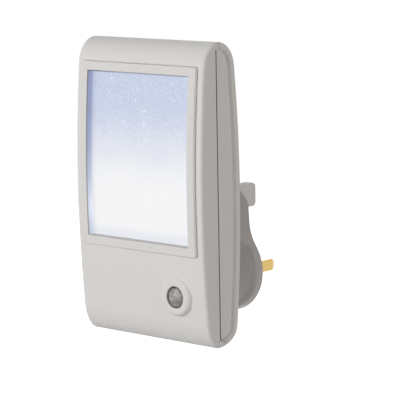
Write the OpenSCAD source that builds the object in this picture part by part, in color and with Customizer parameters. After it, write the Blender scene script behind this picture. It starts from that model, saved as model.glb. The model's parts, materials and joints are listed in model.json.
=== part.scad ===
// Plug-in night light: a slim case with a lit window and a light sensor, carried on a
// British three-pin plug. Millimetres. +Z is up, +Y goes into the wall, +X is to the
// right of the window. The origin lies on the plug's flat face, midway in height between
// the earth pin and the line and neutral pins.

/* [Case] */
// Width across the two side rims
case_w = 56.2; // [54:0.1:60]
// Height from the lowest to the highest point
case_h = 98; // [96:0.5:102]
// Depth of the front half at its crown
front_depth = 9.7; // [9.4:0.1:11]
// Depth of the rear half at its crown
rear_depth = 9.1; // [8.8:0.1:10]
// Radius of the long curve of the front and of the back
long_curve_r = 430; // [400:10:600]
// Distance from the plug's face to the seam between the halves
seam_standoff = 24.3; // [24:0.1:28]
// How far the case reaches below the plug's middle
case_drop = 30.9; // [30.5:0.1:32]
// Thickness of the front and rear walls
wall = 2; // [1.8:0.1:2.2]
// Radius of the long outer edges
edge_r = 1; // [0.5:0.1:1.4]
// Rounding of the front half's top end, depth by height
front_top_end = [6.6, 7.5];
// Rounding of the front half's bottom end, depth by height
front_bottom_end = [4.9, 8.8];
// Rounding of the rear half's top end, depth by height
rear_top_end = [6.3, 7.5];
// Rounding of the rear half's bottom end, depth by height
rear_bottom_end = [8.2, 6];

/* [Side panels] */
// Width of the raised rim round a side panel
rim_w = 2.2; // [1.8:0.1:2.6]
// How far a side panel lies below its rim
panel_sink = 1.7; // [1.2:0.1:1.8]
// Wall thickness behind a side panel
panel_wall = 1.4; // [1.2:0.1:1.5]

/* [Window] */
// Width of the lit window
window_w = 44.8; // [40:0.1:45.2]
// Height of the lit window
window_h = 54.5; // [48:0.1:54.5]
// Height of the window's middle above the origin
window_mid = 29.45; // [29:0.05:30]
// Width of the frame above and below the window
frame_bar = 2.95; // [2.5:0.05:3.1]
// Width of the frame beside the window
frame_side_bar = 3.1; // [2.5:0.1:3.7]
// How far the frame stands proud of the case
frame_proud = 1; // [0.5:0.1:1.2]
// Corner radius of the frame's outline
frame_corner_r = 1; // [0.8:0.1:2.5]
// Thickness of the window pane
pane_t = 1.5; // [1:0.1:1.6]

/* [Light sensor] */
// Sensor's place to the right of the middle
sensor_x = 15.7; // [14:0.1:16]
// Sensor's height against the origin
sensor_z = -14.5; // [-16:0.1:-14]
// Diameter of the hole for the sensor's lens
sensor_hole_d = 7.2; // [6.8:0.1:7.6]
// Diameter of the raised ring round the hole
sensor_ring_d = 12.4; // [11:0.1:14]
// How far the ring stands in front of the seam
sensor_ring_depth = 9.8; // [9.2:0.1:10]
// Diameter of the sensor's domed lens
sensor_dome_d = 6.3; // [6:0.1:6.4]

/* [Plug] */
// Half the spacing between the line and neutral pins
pin_half_pitch = 11.1; // [11.1:0.1:11.2]
// Height of the earth pin above the line and neutral pins
pin_rise = 22.2; // [22.1:0.1:22.3]
// Line and neutral pins: width, height and length beyond the face
live_pin = [6.35, 4, 17.7];
// Earth pin: width, height and length beyond the face
earth_pin_size = [4, 8, 22.7];
// Length of the insulating sleeves beyond the face
sleeve_l = 9; // [8:0.1:9.5]
// Radius of the plug's lower corners
lobe_r = 14.2; // [14:0.1:14.6]
// Centre of the right lower corner
lobe_c = [9.6, -10.2];
// Radius of the hollow between the lower and upper lobes
waist_r = 15; // [12:0.5:18]
// Lean of the upper lobe's straight sides, in degrees
flank_lean = 4.3; // [3:0.1:6]
// Point on the right straight side
flank_point = [17.9, 10.7];
// Radius of the upper corners
shoulder_r = 5.9; // [5:0.1:6.5]
// Thickness of the plug's edge behind the finger grips
edge_t = 3; // [2.6:0.1:4]
// Depth of the finger grip in each side of the plug
grip_depth = 1.4; // [1:0.1:2]
// Lowest and highest point of the finger grips
grip_span = [-22.8, 1.1];
// Radius of the grips' lower and upper corners, seen from the side
grip_corners = [6, 3];
// Wall thickness of the plug at the finger grips
boss_wall = 1.8; // [1.5:0.1:2]

/* [Lamp] */
// Thickness of the clear light guide
guide_t = 3; // [2.5:0.1:3]
// Size of one lamp chip: width, depth and height
led_size = [3.5, 2.8, 1.9];
// Spacing of the lamp chips
led_pitch = 15; // [10:1:18]

/* [Circuit board] */
// Width of the board
board_w = 34.8; // [33:0.1:35]
// Thickness of the board
board_t = 1.6; // [1.2:0.1:1.6]
// Height of the board's lower edge
board_low = -26; // [-26.5:0.1:-25]
// Height of the board's upper edge
board_high = 20; // [19:0.1:21]

/* [Hidden] */
$fn = 48;

// Colours
case_colour = [0.84, 0.82, 0.80];
brass = [0.80, 0.66, 0.36];
copper = [0.78, 0.50, 0.32];
steel = [0.72, 0.72, 0.74];
black = [0.10, 0.10, 0.11];
board_green = [0.16, 0.40, 0.24];

// Main planes
seam_y = -seam_standoff;
case_mid = case_h / 2 - case_drop;
gap = 0.1;
seam_gap = 0.2;
inner_half_w = case_w / 2 - panel_sink - panel_wall;

// Window stack, from front to back
sleeve_t = 1;
pane_lip = 0.8;
pane_w = window_w + 2 * (sleeve_t + pane_lip);
pane_h = window_h + 2 * (sleeve_t + pane_lip);
pane_step = 0.6;
frame_w = window_w + 2 * frame_side_bar;
frame_h = window_h + 2 * frame_bar;
guide_back = seam_y - 1.1;
guide_low = 0.8;
guide_high = window_mid + window_h / 2 + 1.05;
guide_half_w = 23.4;
tray_wall = 1;
tray_back_t = 1.2;
tray_low = -0.4;
led_board_t = 1.2;
led_board_top = guide_low - led_size[2] - 0.3;
led_y = guide_back - guide_t / 2;

// Light sensor, from front to back
ring_face = seam_y - sensor_ring_depth;
ring_back = seam_y - 6;
cell_front = ring_back + 1.2;

// Circuit board and what it carries
board_back = seam_y + 3.5;
board_front = board_back - board_t;
board_screw_at = [14.5, 17];
stand = 0.3;

// Fasteners: shaft diameter, head diameter and head height
screw_shaft = 2.6;
screw_head = [5, 1.6];
small_shaft = 2;
small_head = [3.8, 1.2];
case_post_d = 5.4;
rear_post_d = 7.4;
case_screw_places = [[-21.2, -23.5], [21.2, -23.5], [-20.5, 61.7], [20.5, 61.7]];
case_head_seat = seam_y + 3.4;
case_screw_l = 7.4;
boss_screw_places = [[-13.9, -18.4], [13.9, -18.4], [-13, 7], [13, 7]];
boss_head_seat = seam_y + 5.2;
boss_screw_l = 9;
clamp_screw_places = [[-7.3, 0], [7.3, 0]];

// Plug, from its face inwards
base_t = 3;
pin_head_t = 2;
clamp_t = 2;
tail_l = 3;
live_head = [8, 5.5];
earth_head = [6.5, 9.4];
live_core = [5.2, 2.9];
tail = [4, 1];
pin_row_z = -pin_rise / 2;
wire_d = 1.8;
thin_wire_d = 1.2;

// ---- Outlines ----

// Points along an arc about c, from angle a0 to a1
function arc(c, r, a0, a1, steps = 10) =
    [for (i = [0 : steps]) let (a = a0 + (a1 - a0) * i / steps) c + r * [cos(a), sin(a)]];

// Depth of one half of the case at height z above the case's middle, its ends still square
function bow(depth, z) = depth - z * z / (2 * long_curve_r);

// What a rounded end takes off the depth, at a distance past the start of the rounding
function end_cut(end, past) =
    past <= 0 ? 0 : end[0] * (1 - sqrt(max(0, 1 - pow(past / end[1], 2))));

// One half of the case as [depth, height] points from top to bottom, moved in by inset
function half_outline(depth, top, bottom, inset) =
    let (
        t = [top[0] - inset, top[1] - inset],
        b = [bottom[0] - inset, bottom[1] - inset],
        round_up = case_h / 2 - inset - t[1],
        round_down = case_h / 2 - inset - b[1],
        steps = 10,
        heights = concat(
            [for (a = [90 : -10 : 0]) round_up + t[1] * sin(a)],
            [for (i = [1 : steps - 1]) round_up - (round_up + round_down) * i / steps],
            [for (a = [0 : 10 : 90]) -round_down - b[1] * sin(a)]
        )
    )
    [for (z = heights)
        [bow(depth - inset, z) - end_cut(t, z - round_up) - end_cut(b, -z - round_down), z]];

// The case seen from its side, as [y, z] points
function case_outline(inset) =
    let (
        front = half_outline(front_depth, front_top_end, front_bottom_end, inset),
        rear = half_outline(rear_depth, rear_top_end, rear_bottom_end, inset)
    )
    concat(
        [for (p = front) [seam_y - p[0], case_mid + p[1]]],
        [for (i = [len(rear) - 1 : -1 : 0]) [seam_y + rear[i][0], case_mid + rear[i][1]]]
    );

// Place of the case's front surface at height z, moved in by inset
function front_y(z, inset) = seam_y - bow(front_depth - inset, z - case_mid);

// Right half of the plug's outline as [x, z] points, from bottom to top, moved in by inset
function half_pear(inset) =
    let (
        out = [cos(flank_lean), sin(flank_lean)],
        up = [-sin(flank_lean), cos(flank_lean)],
        shoulder_c = flank_point - shoulder_r * out,
        dome_r = shoulder_r + shoulder_c[0] / cos(45),
        dome_c = shoulder_c - (dome_r - shoulder_r) * [cos(45), sin(45)],
        q = flank_point + waist_r * out - lobe_c,
        slide = -(q * up) - sqrt(pow(q * up, 2) - q * q + pow(lobe_r + waist_r, 2)),
        low_slide = -(q * up) + sqrt(pow(q * up, 2) - q * q + pow(lobe_r + waist_r, 2)),
        waist_c = lobe_c + q + (abs(slide) < abs(low_slide) ? slide : low_slide) * up,
        meet = atan2(waist_c[1] - lobe_c[1], waist_c[0] - lobe_c[0])
    )
    concat(
        arc(lobe_c, lobe_r - inset, -90, meet, 16),
        arc(waist_c, waist_r + inset, meet + 180, flank_lean + 180, 6),
        arc(shoulder_c, shoulder_r - inset, flank_lean, 45, 6),
        arc(dome_c, dome_r - inset, 45, 90, 8)
    );

// The whole plug outline
function pear(inset) =
    let (right = half_pear(inset))
    concat(right, [for (i = [len(right) - 2 : -1 : 0]) [-right[i][0], right[i][1]]]);

// Rectangle with round corners about [0, mid]
function round_rect(w, h, r, mid) =
    concat(
        arc([w / 2 - r, mid - h / 2 + r], r, -90, 0, 6),
        arc([w / 2 - r, mid + h / 2 - r], r, 0, 90, 6),
        arc([-w / 2 + r, mid + h / 2 - r], r, 90, 180, 6),
        arc([-w / 2 + r, mid - h / 2 + r], r, 180, 270, 6)
    );

// ---- Building blocks ----

// Extrudes a flat [x, z] shape from y0 to y1
module along_y(y0, y1) {
    translate([0, y1, 0]) rotate([90, 0, 0]) linear_extrude(y1 - y0) children();
}

// Cylinder along Y at the place [x, z]
module rod_y(place, d, y0, y1) {
    translate([place[0], y1, place[1]]) rotate([90, 0, 0]) cylinder(d = d, h = y1 - y0);
}

// Box from its lowest to its highest corner
module box(low, high) {
    translate(low) cube(high - low);
}

// The case's side outline, moved in by inset, over a width
module case_slab(width, inset) {
    rotate([90, 0, 90]) linear_extrude(width, center = true) polygon(case_outline(inset));
}

// The solid case with its long edges rounded
module case_block() {
    hull()
        for (a = [0 : 22.5 : 90])
            case_slab(case_w - 2 * edge_r * (1 - sin(a)), edge_r * (1 - cos(a)));
}

// What sinks the two side panels
module side_cuts() {
    cut_w = 10;
    for (side = [-1, 1])
        translate([side * (case_w / 2 - panel_sink + cut_w / 2), 0, 0])
            case_slab(cut_w, rim_w);
}

// Band that follows the front surface, between two insets
module front_band(width, inset0, inset1) {
    z0 = window_mid - 35;
    steps = 20;
    heights = [for (i = [0 : steps]) z0 + 70 * i / steps];
    rotate([90, 0, 90])
        linear_extrude(width, center = true)
            polygon(concat(
                [for (z = heights) [front_y(z, inset0), z]],
                [for (i = [steps : -1 : 0]) [front_y(heights[i], inset1), heights[i]]]
            ));
}

// Half of the room on one side of the seam: -1 is in front, 1 is behind
module half_room(side, clear = 0) {
    y0 = side < 0 ? seam_y - 40 : seam_y + clear;
    box([-60, y0, -60], [60, y0 + 40 - (side < 0 ? clear : 0), 100]);
}

// Screw along Y with its head seat at y; way is 1 if it is driven towards +Y
module screw_y(place, seat, way, shaft, head, length) {
    cross = 0.5 * head[0];
    slot = 0.7;
    translate([place[0], seat, place[1]]) rotate([way > 0 ? -90 : 90, 0, 0]) {
        translate([0, 0, -0.2]) cylinder(d = shaft, h = length + 0.2);
        difference() {
            translate([0, 0, -head[1]]) cylinder(d = head[0], h = head[1]);
            for (turn = [0, 90])
                rotate(turn) translate([-cross / 2, -slot / 2, -head[1] - 1])
                    cube([cross, slot, 1.7]);
        }
    }
}

// Round leg through a list of points, its bends square
module leg(points, d) {
    for (i = [0 : len(points) - 2]) {
        step = points[i + 1] - points[i];
        translate(points[i])
            rotate([0, acos(step[2] / norm(step)), atan2(step[1], step[0])])
                cylinder(d = d, h = norm(step));
    }
    for (i = [1 : 1 : len(points) - 2])
        translate(points[i]) sphere(d = d);
}

// Part of a ring in the XY plane, from the X axis through an angle
module bend(r, d, angle) {
    rotate_extrude(angle = angle) translate([r, 0]) circle(d = d);
}

// Wire that sets out towards -Y, crosses over along X at cross_y and goes on towards -Y
module stepped_wire(start, finish, cross_y, r, d) {
    way = sign(finish[0] - start[0]);
    over = abs(finish[0] - start[0]) - 2 * r;
    rod_y([start[0], start[2]], d, cross_y + r, start[1]);
    rod_y([finish[0], start[2]], d, finish[1], cross_y - r);
    translate([start[0], cross_y + r, start[2]]) scale([way, 1, 1]) {
        translate([r, 0, 0]) rotate(180) bend(r, d, 90);
        translate([r, -r, 0]) rotate([0, 90, 0]) cylinder(d = d, h = over);
        translate([r + over, -2 * r, 0]) bend(r, d, 90);
    }
}

// Resistor or diode along X, with its legs bent into the board; way is 1 on the rear side
module axial_part(place, body_d, body_l, leg_d, pitch, way) {
    face = way > 0 ? board_back : board_front;
    y = face + way * (stand + body_d / 2);
    translate([place[0] - body_l / 2, y, place[1]])
        rotate([0, 90, 0]) cylinder(d = body_d, h = body_l);
    for (side = [-1, 1]) {
        x = place[0] + side * pitch / 2;
        leg([[place[0] + side * body_l / 2, y, place[1]], [x, y, place[1]],
            [x, face, place[1]]], leg_d);
    }
}

// ---- Case ----

// Blind or through post along Y that merges with the shell's wall
module case_post(place, d, y0, y1) {
    intersection() {
        rod_y(place, d, y0, y1);
        case_slab(2 * inner_half_w + 0.2, wall / 2);
    }
}

// Tongue and groove along the seam, from the seam forward
module seam_lip(thickness, depth) {
    intersection() {
        difference() {
            case_slab(2 * inner_half_w + 2 * thickness - 0.6, wall - thickness);
            case_slab(2 * inner_half_w, wall);
        }
        box([-60, seam_y - depth, -60], [60, seam_y + 1, 100]);
    }
}

module front_shell() {
    color(case_colour) difference() {
        union() {
            difference() {
                intersection() {
                    case_block();
                    half_room(-1);
                }
                case_slab(2 * inner_half_w, wall);
                side_cuts();
            }
            rod_y([sensor_x, sensor_z], sensor_ring_d, ring_face, ring_back);
            for (place = case_screw_places)
                case_post(place, case_post_d, seam_y - 9, seam_y);
        }
        seam_lip(1, 1.3);
        along_y(seam_y - 12, seam_y - 3)
            polygon(round_rect(window_w + 2 * (sleeve_t + gap),
                window_h + 2 * (sleeve_t + gap), 0.5, window_mid));
        rod_y([sensor_x, sensor_z], sensor_hole_d, ring_face - 1, ring_back + 1);
        for (place = case_screw_places)
            rod_y(place, screw_shaft, seam_y - 5, seam_y + 1);
    }
}

module rear_shell() {
    rib_t = 1.2;
    color(case_colour) difference() {
        union() {
            difference() {
                intersection() {
                    case_block();
                    half_room(1, seam_gap);
                }
                case_slab(2 * inner_half_w, wall);
                side_cuts();
            }
            seam_lip(0.9, 1.2);
            for (place = case_screw_places)
                case_post(place, rear_post_d, seam_y + seam_gap, seam_y + 9);
            intersection() {
                for (place = boss_screw_places)
                    rod_y(place, 7, boss_head_seat, seam_y + 9);
                case_slab(2 * inner_half_w, wall / 2);
            }
            intersection() {
                for (side = [-1, 1])
                    rod_y([side * board_screw_at[0], board_screw_at[1]], 5,
                        board_back, seam_y + 9);
                case_slab(2 * inner_half_w, wall / 2);
            }
            intersection() {
                for (side = [-1, 1])
                    box([side * 18 - rib_t / 2, guide_back + tray_back_t + gap, 26],
                        [side * 18 + rib_t / 2, seam_y + 9, 54]);
                case_slab(2 * inner_half_w, wall / 2);
            }
        }
        along_y(seam_y + 3, seam_y + 12) polygon(round_rect(19, 20, 2, -5));
        for (place = case_screw_places) {
            rod_y(place, screw_shaft + 0.3, seam_y - 1, seam_y + 12);
            rod_y(place, screw_head[0] + 0.4, case_head_seat, seam_y + 12);
        }
        for (place = boss_screw_places)
            rod_y(place, screw_shaft + 0.3, seam_y + 4, seam_y + 12);
        for (side = [-1, 1])
            rod_y([side * board_screw_at[0], board_screw_at[1]], small_shaft,
                board_back - 1, board_back + 3);
    }
}

module case_screws() {
    color(steel)
        for (place = case_screw_places)
            screw_y(place, case_head_seat, -1, screw_shaft, screw_head, case_screw_l);
}

// ---- Window and lamp ----

module window_frame() {
    color(case_colour) difference() {
        union() {
            intersection() {
                front_band(frame_w + 2, -frame_proud, 0);
                along_y(seam_y - 14, seam_y)
                    polygon(round_rect(frame_w, frame_h, frame_corner_r, window_mid));
            }
            intersection() {
                front_band(frame_w + 2, 0, wall);
                along_y(seam_y - 14, seam_y)
                    polygon(round_rect(window_w + 2 * sleeve_t, window_h + 2 * sleeve_t,
                        0.4, window_mid));
            }
        }
        box([-window_w / 2, seam_y - 14, window_mid - window_h / 2],
            [window_w / 2, seam_y, window_mid + window_h / 2]);
    }
}

// The pane lies behind the wall, and its middle steps forward into the frame's opening
module diffuser() {
    back = wall + gap + pane_t;
    field_w = window_w - 2 * gap;
    field_h = window_h - 2 * gap;
    color([0.90, 0.93, 0.98]) {
        intersection() {
            front_band(pane_w, wall + gap, back);
            box([-pane_w / 2, seam_y - 14, window_mid - pane_h / 2],
                [pane_w / 2, seam_y, window_mid + pane_h / 2]);
        }
        intersection() {
            front_band(field_w, wall + gap - pane_step, back);
            box([-field_w / 2, seam_y - 14, window_mid - field_h / 2],
                [field_w / 2, seam_y, window_mid + field_h / 2]);
        }
    }
}

module light_guide() {
    color([0.85, 0.90, 0.95])
        box([-guide_half_w, guide_back - guide_t, guide_low],
            [guide_half_w, guide_back, guide_high]);
}

module reflector_tray() {
    half_w = guide_half_w + 0.2 + tray_wall;
    high = guide_high + 0.2 + tray_wall;
    shelf_high = led_board_top - led_board_t - gap;
    color([0.96, 0.96, 0.95]) difference() {
        union() {
            box([-half_w, seam_y - 8, tray_low],
                [half_w, guide_back + gap + tray_back_t, high]);
            for (side = [-1, 1]) {
                box([side * (half_w - tray_wall / 2) - tray_wall / 2, seam_y - 4.9,
                        shelf_high - tray_wall],
                    [side * (half_w - tray_wall / 2) + tray_wall / 2, guide_back + gap,
                        tray_low]);
                box([side * (half_w - 1.5) - 1.5, seam_y - 4.9, shelf_high - tray_wall],
                    [side * (half_w - 1.5) + 1.5, guide_back + gap, shelf_high]);
            }
        }
        box([-guide_half_w - 0.2, seam_y - 14, guide_low - 0.2],
            [guide_half_w + 0.2, guide_back + gap, guide_high + 0.2]);
        front_band(2 * half_w + 1, -6, wall + pane_t + 2 * gap);
        for (i = [-1 : 1])
            box([i * led_pitch - led_size[0] / 2 - 0.2, seam_y - 14, tray_low - 1],
                [i * led_pitch + led_size[0] / 2 + 0.2, led_y + led_size[1] / 2 + 0.2,
                    guide_low]);
    }
}

module led_board() {
    color([0.92, 0.92, 0.90])
        box([-guide_half_w, seam_y - 4.9, led_board_top - led_board_t],
            [guide_half_w, guide_back + gap, led_board_top]);
}

// One lamp chip on the strip board: -1, 0 or 1 from left to right
module led(i) {
    lens_d = 2.2;
    color([0.98, 0.93, 0.66]) difference() {
        translate([i * led_pitch - led_size[0] / 2, led_y - led_size[1] / 2, led_board_top])
            cube(led_size);
        translate([i * led_pitch, led_y, led_board_top + led_size[2] - 0.4])
            cylinder(d1 = lens_d - 0.4, d2 = lens_d, h = 0.5);
    }
}

module led_left() { led(-1); }
module led_middle() { led(0); }
module led_right() { led(1); }

// Wire from the circuit board's front to the underside of the strip board
module led_lead(x, colour) {
    bend_r = 2;
    low_z = -5.5;
    rise_y = seam_y - 2.1;
    bend_z = low_z + bend_r;
    color(colour) {
        rod_y([x, low_z], thin_wire_d, rise_y + bend_r, board_front);
        translate([x, rise_y + bend_r, bend_z]) rotate([90, 0, 90]) rotate(180)
            bend(bend_r, thin_wire_d, 90);
        translate([x, rise_y, bend_z])
            cylinder(d = thin_wire_d, h = led_board_top - led_board_t - bend_z);
    }
}

module led_lead_positive() { led_lead(-15.5, [0.75, 0.12, 0.10]); }
module led_lead_negative() { led_lead(-12.5, black); }

// ---- Light sensor ----

module sensor_lens() {
    flange_d = 9;
    flange = 1;
    bulge = 1.4;
    r = sensor_dome_d / 2;
    cap_r = (r * r + bulge * bulge) / (2 * bulge);
    shoulder_y = ring_face + 0.9;
    color([0.35, 0.34, 0.33]) {
        intersection() {
            translate([sensor_x, shoulder_y - bulge + cap_r, sensor_z]) sphere(r = cap_r);
            rod_y([sensor_x, sensor_z], sensor_dome_d, shoulder_y - bulge - 1, shoulder_y);
        }
        rod_y([sensor_x, sensor_z], sensor_dome_d, shoulder_y, ring_back + flange);
        rod_y([sensor_x, sensor_z], flange_d, ring_back, ring_back + flange);
    }
}

module photocell() {
    leg_pitch = 2.6;
    color([0.80, 0.62, 0.40]) {
        rod_y([sensor_x, sensor_z], 5, cell_front, cell_front + 1.9);
        for (side = [-1, 1])
            rod_y([sensor_x, sensor_z + side * leg_pitch / 2], 0.5, cell_front + 1.5,
                board_front);
    }
}

module photocell_shroud() {
    color(black) difference() {
        rod_y([sensor_x, sensor_z], 7.4, ring_back + 1 + gap, board_front);
        rod_y([sensor_x, sensor_z], 5.4, ring_back, board_front + 1);
    }
}

// ---- Circuit board and its parts ----

module main_board() {
    color(board_green) difference() {
        box([-board_w / 2, board_front, board_low], [board_w / 2, board_back, board_high]);
        for (side = [-1, 1])
            rod_y([side * board_screw_at[0], board_screw_at[1]], small_shaft + 0.4,
                board_front - 1, board_back + 1);
    }
}

module board_screws() {
    color(steel)
        for (side = [-1, 1])
            screw_y([side * board_screw_at[0], board_screw_at[1]], board_front, 1,
                small_shaft, small_head, 4.4);
}

module dropper_capacitor() {
    size = [18, 10.4, 7];
    y0 = board_back + stand;
    color([0.86, 0.72, 0.16]) box([-size[0] / 2, y0, -size[2] / 2],
        [size[0] / 2, y0 + size[1], size[2] / 2]);
    color(steel)
        for (side = [-1, 1])
            rod_y([side * 7.5, 0], 0.7, board_back, y0 + 0.5);
}

module surge_resistor() {
    color([0.35, 0.45, 0.62]) axial_part([-1, -7.6], 3.4, 9.5, 0.7, 13, 1);
}

module bleed_resistor() {
    color([0.80, 0.68, 0.50]) axial_part([0, 11], 2.3, 6.2, 0.6, 9, 1);
}

module bridge_rectifier() {
    size = [8.3, 3, 6.4];
    place = [-9, -10.5];
    y1 = board_front - stand;
    color(black) box([place[0] - size[0] / 2, y1 - size[1], place[1] - size[2] / 2],
        [place[0] + size[0] / 2, y1, place[1] + size[2] / 2]);
    color(steel)
        for (side = [-1, 1], row = [-1, 1])
            rod_y([place[0] + side * 2.5, place[1] + row * 2.4], 0.6, y1 - 0.5, board_front);
}

module smoothing_capacitor() {
    can_d = 6.3;
    place = [-10, -19];
    y1 = board_front - stand;
    color([0.16, 0.18, 0.24]) difference() {
        rod_y(place, can_d, y1 - 6.6, y1);
        translate([place[0], y1 - 1.4, place[1]]) rotate([90, 0, 0])
            rotate_extrude() translate([can_d / 2, 0]) circle(r = 0.3);
    }
    color(steel)
        for (side = [-1, 1])
            rod_y([place[0] + side * 1.25, place[1]], 0.5, y1 - 0.5, board_front);
}

module zener_diode() {
    color([0.75, 0.32, 0.18]) axial_part([0, -23.6], 2, 3.8, 0.5, 7, -1);
}

module switching_transistor() {
    place = [1.5, -9.5];
    body_d = 4.6;
    leg_l = 1.6;
    y1 = board_front - leg_l;
    color(black) difference() {
        rod_y(place, body_d, y1 - 4.4, y1);
        box([place[0] - 4, y1 - 6, place[1] + 1.3], [place[0] + 4, y1 + 1, place[1] + 4]);
    }
    color(steel)
        for (i = [-1 : 1])
            rod_y([place[0] + i * 1.27, place[1] - 0.3], 0.5, y1 - 0.5, board_front);
}

module signal_resistors() {
    color([0.80, 0.70, 0.54])
        for (z = [-14, -17, -20])
            axial_part([2.5, z], 1.8, 3.4, 0.5, 6.4, -1);
}

// Wire from a pin's tail to the circuit board; side is 1 for line and -1 for neutral
module mains_lead(side, colour) {
    tail_end = -(base_t + pin_head_t + clamp_t + tail_l);
    color(colour)
        stepped_wire([side * pin_half_pitch, tail_end, pin_row_z],
            [side * 7.4, board_back, pin_row_z], tail_end - 4.4, 1.4, wire_d);
}

module line_lead() { mains_lead(1, [0.42, 0.24, 0.12]); }
module neutral_lead() { mains_lead(-1, [0.15, 0.30, 0.66]); }

// ---- Plug ----

// Slot or shank of one pin at [x, z], with a size [w, h], from y0 to y1
module pin_bar(place, size, y0, y1) {
    box([place[0] - size[0] / 2, y0, place[1] - size[1] / 2],
        [place[0] + size[0] / 2, y1, place[1] + size[1] / 2]);
}

// Shank with its end bevelled on all four sides
module bevelled_pin(place, w, h, y0, y1) {
    bevel = 1;
    intersection() {
        pin_bar(place, [w, h], y0, y1);
        translate([place[0], 0, place[1]]) linear_extrude(2 * h, center = true)
            polygon([[-w / 2, y0], [w / 2, y0], [w / 2, y1 - 2 * bevel],
                [w / 2 - bevel, y1], [-w / 2 + bevel, y1], [-w / 2, y1 - 2 * bevel]]);
        translate([place[0], 0, place[1]]) rotate([90, 0, 90])
            linear_extrude(2 * w, center = true)
                polygon([[y0, -h / 2], [y1 - 2 * bevel, -h / 2], [y1, -h / 2 + bevel],
                    [y1, h / 2 - bevel], [y1 - 2 * bevel, h / 2], [y0, h / 2]]);
    }
}

// Side view of the finger grips, open towards the case, across the whole width
module grip_window() {
    low_r = grip_corners[0];
    high_r = grip_corners[1];
    rotate([90, 0, 90]) linear_extrude(2 * case_w, center = true)
        polygon(concat(
            [[-seam_standoff - 1, grip_span[0]]],
            arc([-edge_t - low_r, grip_span[0] + low_r], low_r, -90, 0, 8),
            arc([-edge_t - high_r, grip_span[1] - high_r], high_r, 0, 90, 6),
            [[-seam_standoff - 1, grip_span[1]]]
        ));
}

module plug_boss() {
    cavity_inset = grip_depth + boss_wall;
    color(case_colour) difference() {
        union() {
            difference() {
                along_y(-seam_standoff, 0) polygon(pear(0));
                difference() {
                    grip_window();
                    along_y(-seam_standoff - 2, 1) polygon(pear(grip_depth));
                }
                along_y(-seam_standoff - 1, -base_t) polygon(pear(cavity_inset));
            }
            intersection() {
                for (place = boss_screw_places)
                    rod_y(place, 5.6, -seam_standoff, -base_t);
                along_y(-seam_standoff, 0) polygon(pear(grip_depth));
            }
            for (place = clamp_screw_places)
                rod_y(place, 4.6, -base_t - pin_head_t, -base_t);
        }
        case_slab(2 * case_w, -gap / 2);
        along_y(-seam_standoff - 1, seam_y + rear_depth - 3) square([80, 80], center = true);
        for (side = [-1, 1])
            pin_bar([side * pin_half_pitch, pin_row_z], [live_pin[0], live_pin[1]],
                -base_t - 1, 1);
        pin_bar([0, pin_rise / 2], [earth_pin_size[0], earth_pin_size[1]], -base_t - 1, 1);
        for (place = boss_screw_places)
            rod_y(place, screw_shaft, -seam_standoff, boss_head_seat + boss_screw_l + 0.5);
        for (place = clamp_screw_places)
            rod_y(place, small_shaft, -base_t - pin_head_t - 1, -0.8);
    }
}

module boss_screws() {
    color(steel)
        for (place = boss_screw_places)
            screw_y(place, boss_head_seat, 1, screw_shaft, screw_head, boss_screw_l);
}

module pin_clamp() {
    y0 = -base_t - pin_head_t - clamp_t;
    color([0.88, 0.87, 0.84]) difference() {
        along_y(y0, -base_t - pin_head_t) polygon([
            [-15.4, -14.5], [15.4, -14.5], [15.4, -7.8], [9.8, -3], [9.8, 3], [5.5, 4.5],
            [4, 15.4], [-4, 15.4], [-5.5, 4.5], [-9.8, 3], [-9.8, -3], [-15.4, -7.8]
        ]);
        for (side = [-1, 1])
            pin_bar([side * pin_half_pitch, pin_row_z], [tail[0] + 0.4, tail[1] + 0.4],
                y0 - 1, 0);
        for (place = clamp_screw_places)
            rod_y(place, small_shaft + 0.3, y0 - 1, 0);
    }
}

module clamp_screws() {
    color(steel)
        for (place = clamp_screw_places)
            screw_y(place, -base_t - pin_head_t - clamp_t, 1, small_shaft, small_head, 5.6);
}

module earth_pin() {
    place = [0, pin_rise / 2];
    color(case_colour) {
        bevelled_pin(place, earth_pin_size[0], earth_pin_size[1], -base_t, earth_pin_size[2]);
        pin_bar(place, earth_head, -base_t - pin_head_t, -base_t);
    }
}

// Line or neutral pin: side is 1 for line and -1 for neutral
module live_pin_body(side) {
    place = [side * pin_half_pitch, pin_row_z];
    clamp_y = -base_t - pin_head_t;
    color(brass) {
        bevelled_pin(place, live_pin[0], live_pin[1], sleeve_l, live_pin[2]);
        pin_bar(place, live_core, -base_t, sleeve_l);
        pin_bar(place, live_head, clamp_y, -base_t);
        pin_bar(place, tail, clamp_y - clamp_t - tail_l, clamp_y);
    }
}

module line_pin() { live_pin_body(1); }
module neutral_pin() { live_pin_body(-1); }

module pin_sleeve(side) {
    place = [side * pin_half_pitch, pin_row_z];
    color(black) difference() {
        pin_bar(place, [live_pin[0], live_pin[1]], -base_t, sleeve_l);
        pin_bar(place, live_core, -base_t - 1, sleeve_l + 1);
    }
}

module line_pin_sleeve() { pin_sleeve(1); }
module neutral_pin_sleeve() { pin_sleeve(-1); }

front_shell();
rear_shell();
window_frame();
diffuser();
light_guide();
reflector_tray();
led_board();
led_left();
led_middle();
led_right();
led_lead_positive();
led_lead_negative();
sensor_lens();
photocell();
photocell_shroud();
main_board();
dropper_capacitor();
surge_resistor();
bleed_resistor();
bridge_rectifier();
smoothing_capacitor();
zener_diode();
switching_transistor();
signal_resistors();
line_lead();
neutral_lead();
plug_boss();
pin_clamp();
earth_pin();
line_pin();
neutral_pin();
line_pin_sleeve();
neutral_pin_sleeve();
case_screws();
boss_screws();
clamp_screws();
board_screws();
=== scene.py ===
"""Plug-in night light: moulded case, lit window, light sensor and three-pin plug.

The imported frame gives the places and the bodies. The visible pieces are modelled here over
it in millimetres and turned into metres at the end, and the parts inside the case keep the
frame's meshes and get their finishes here.
"""

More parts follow.
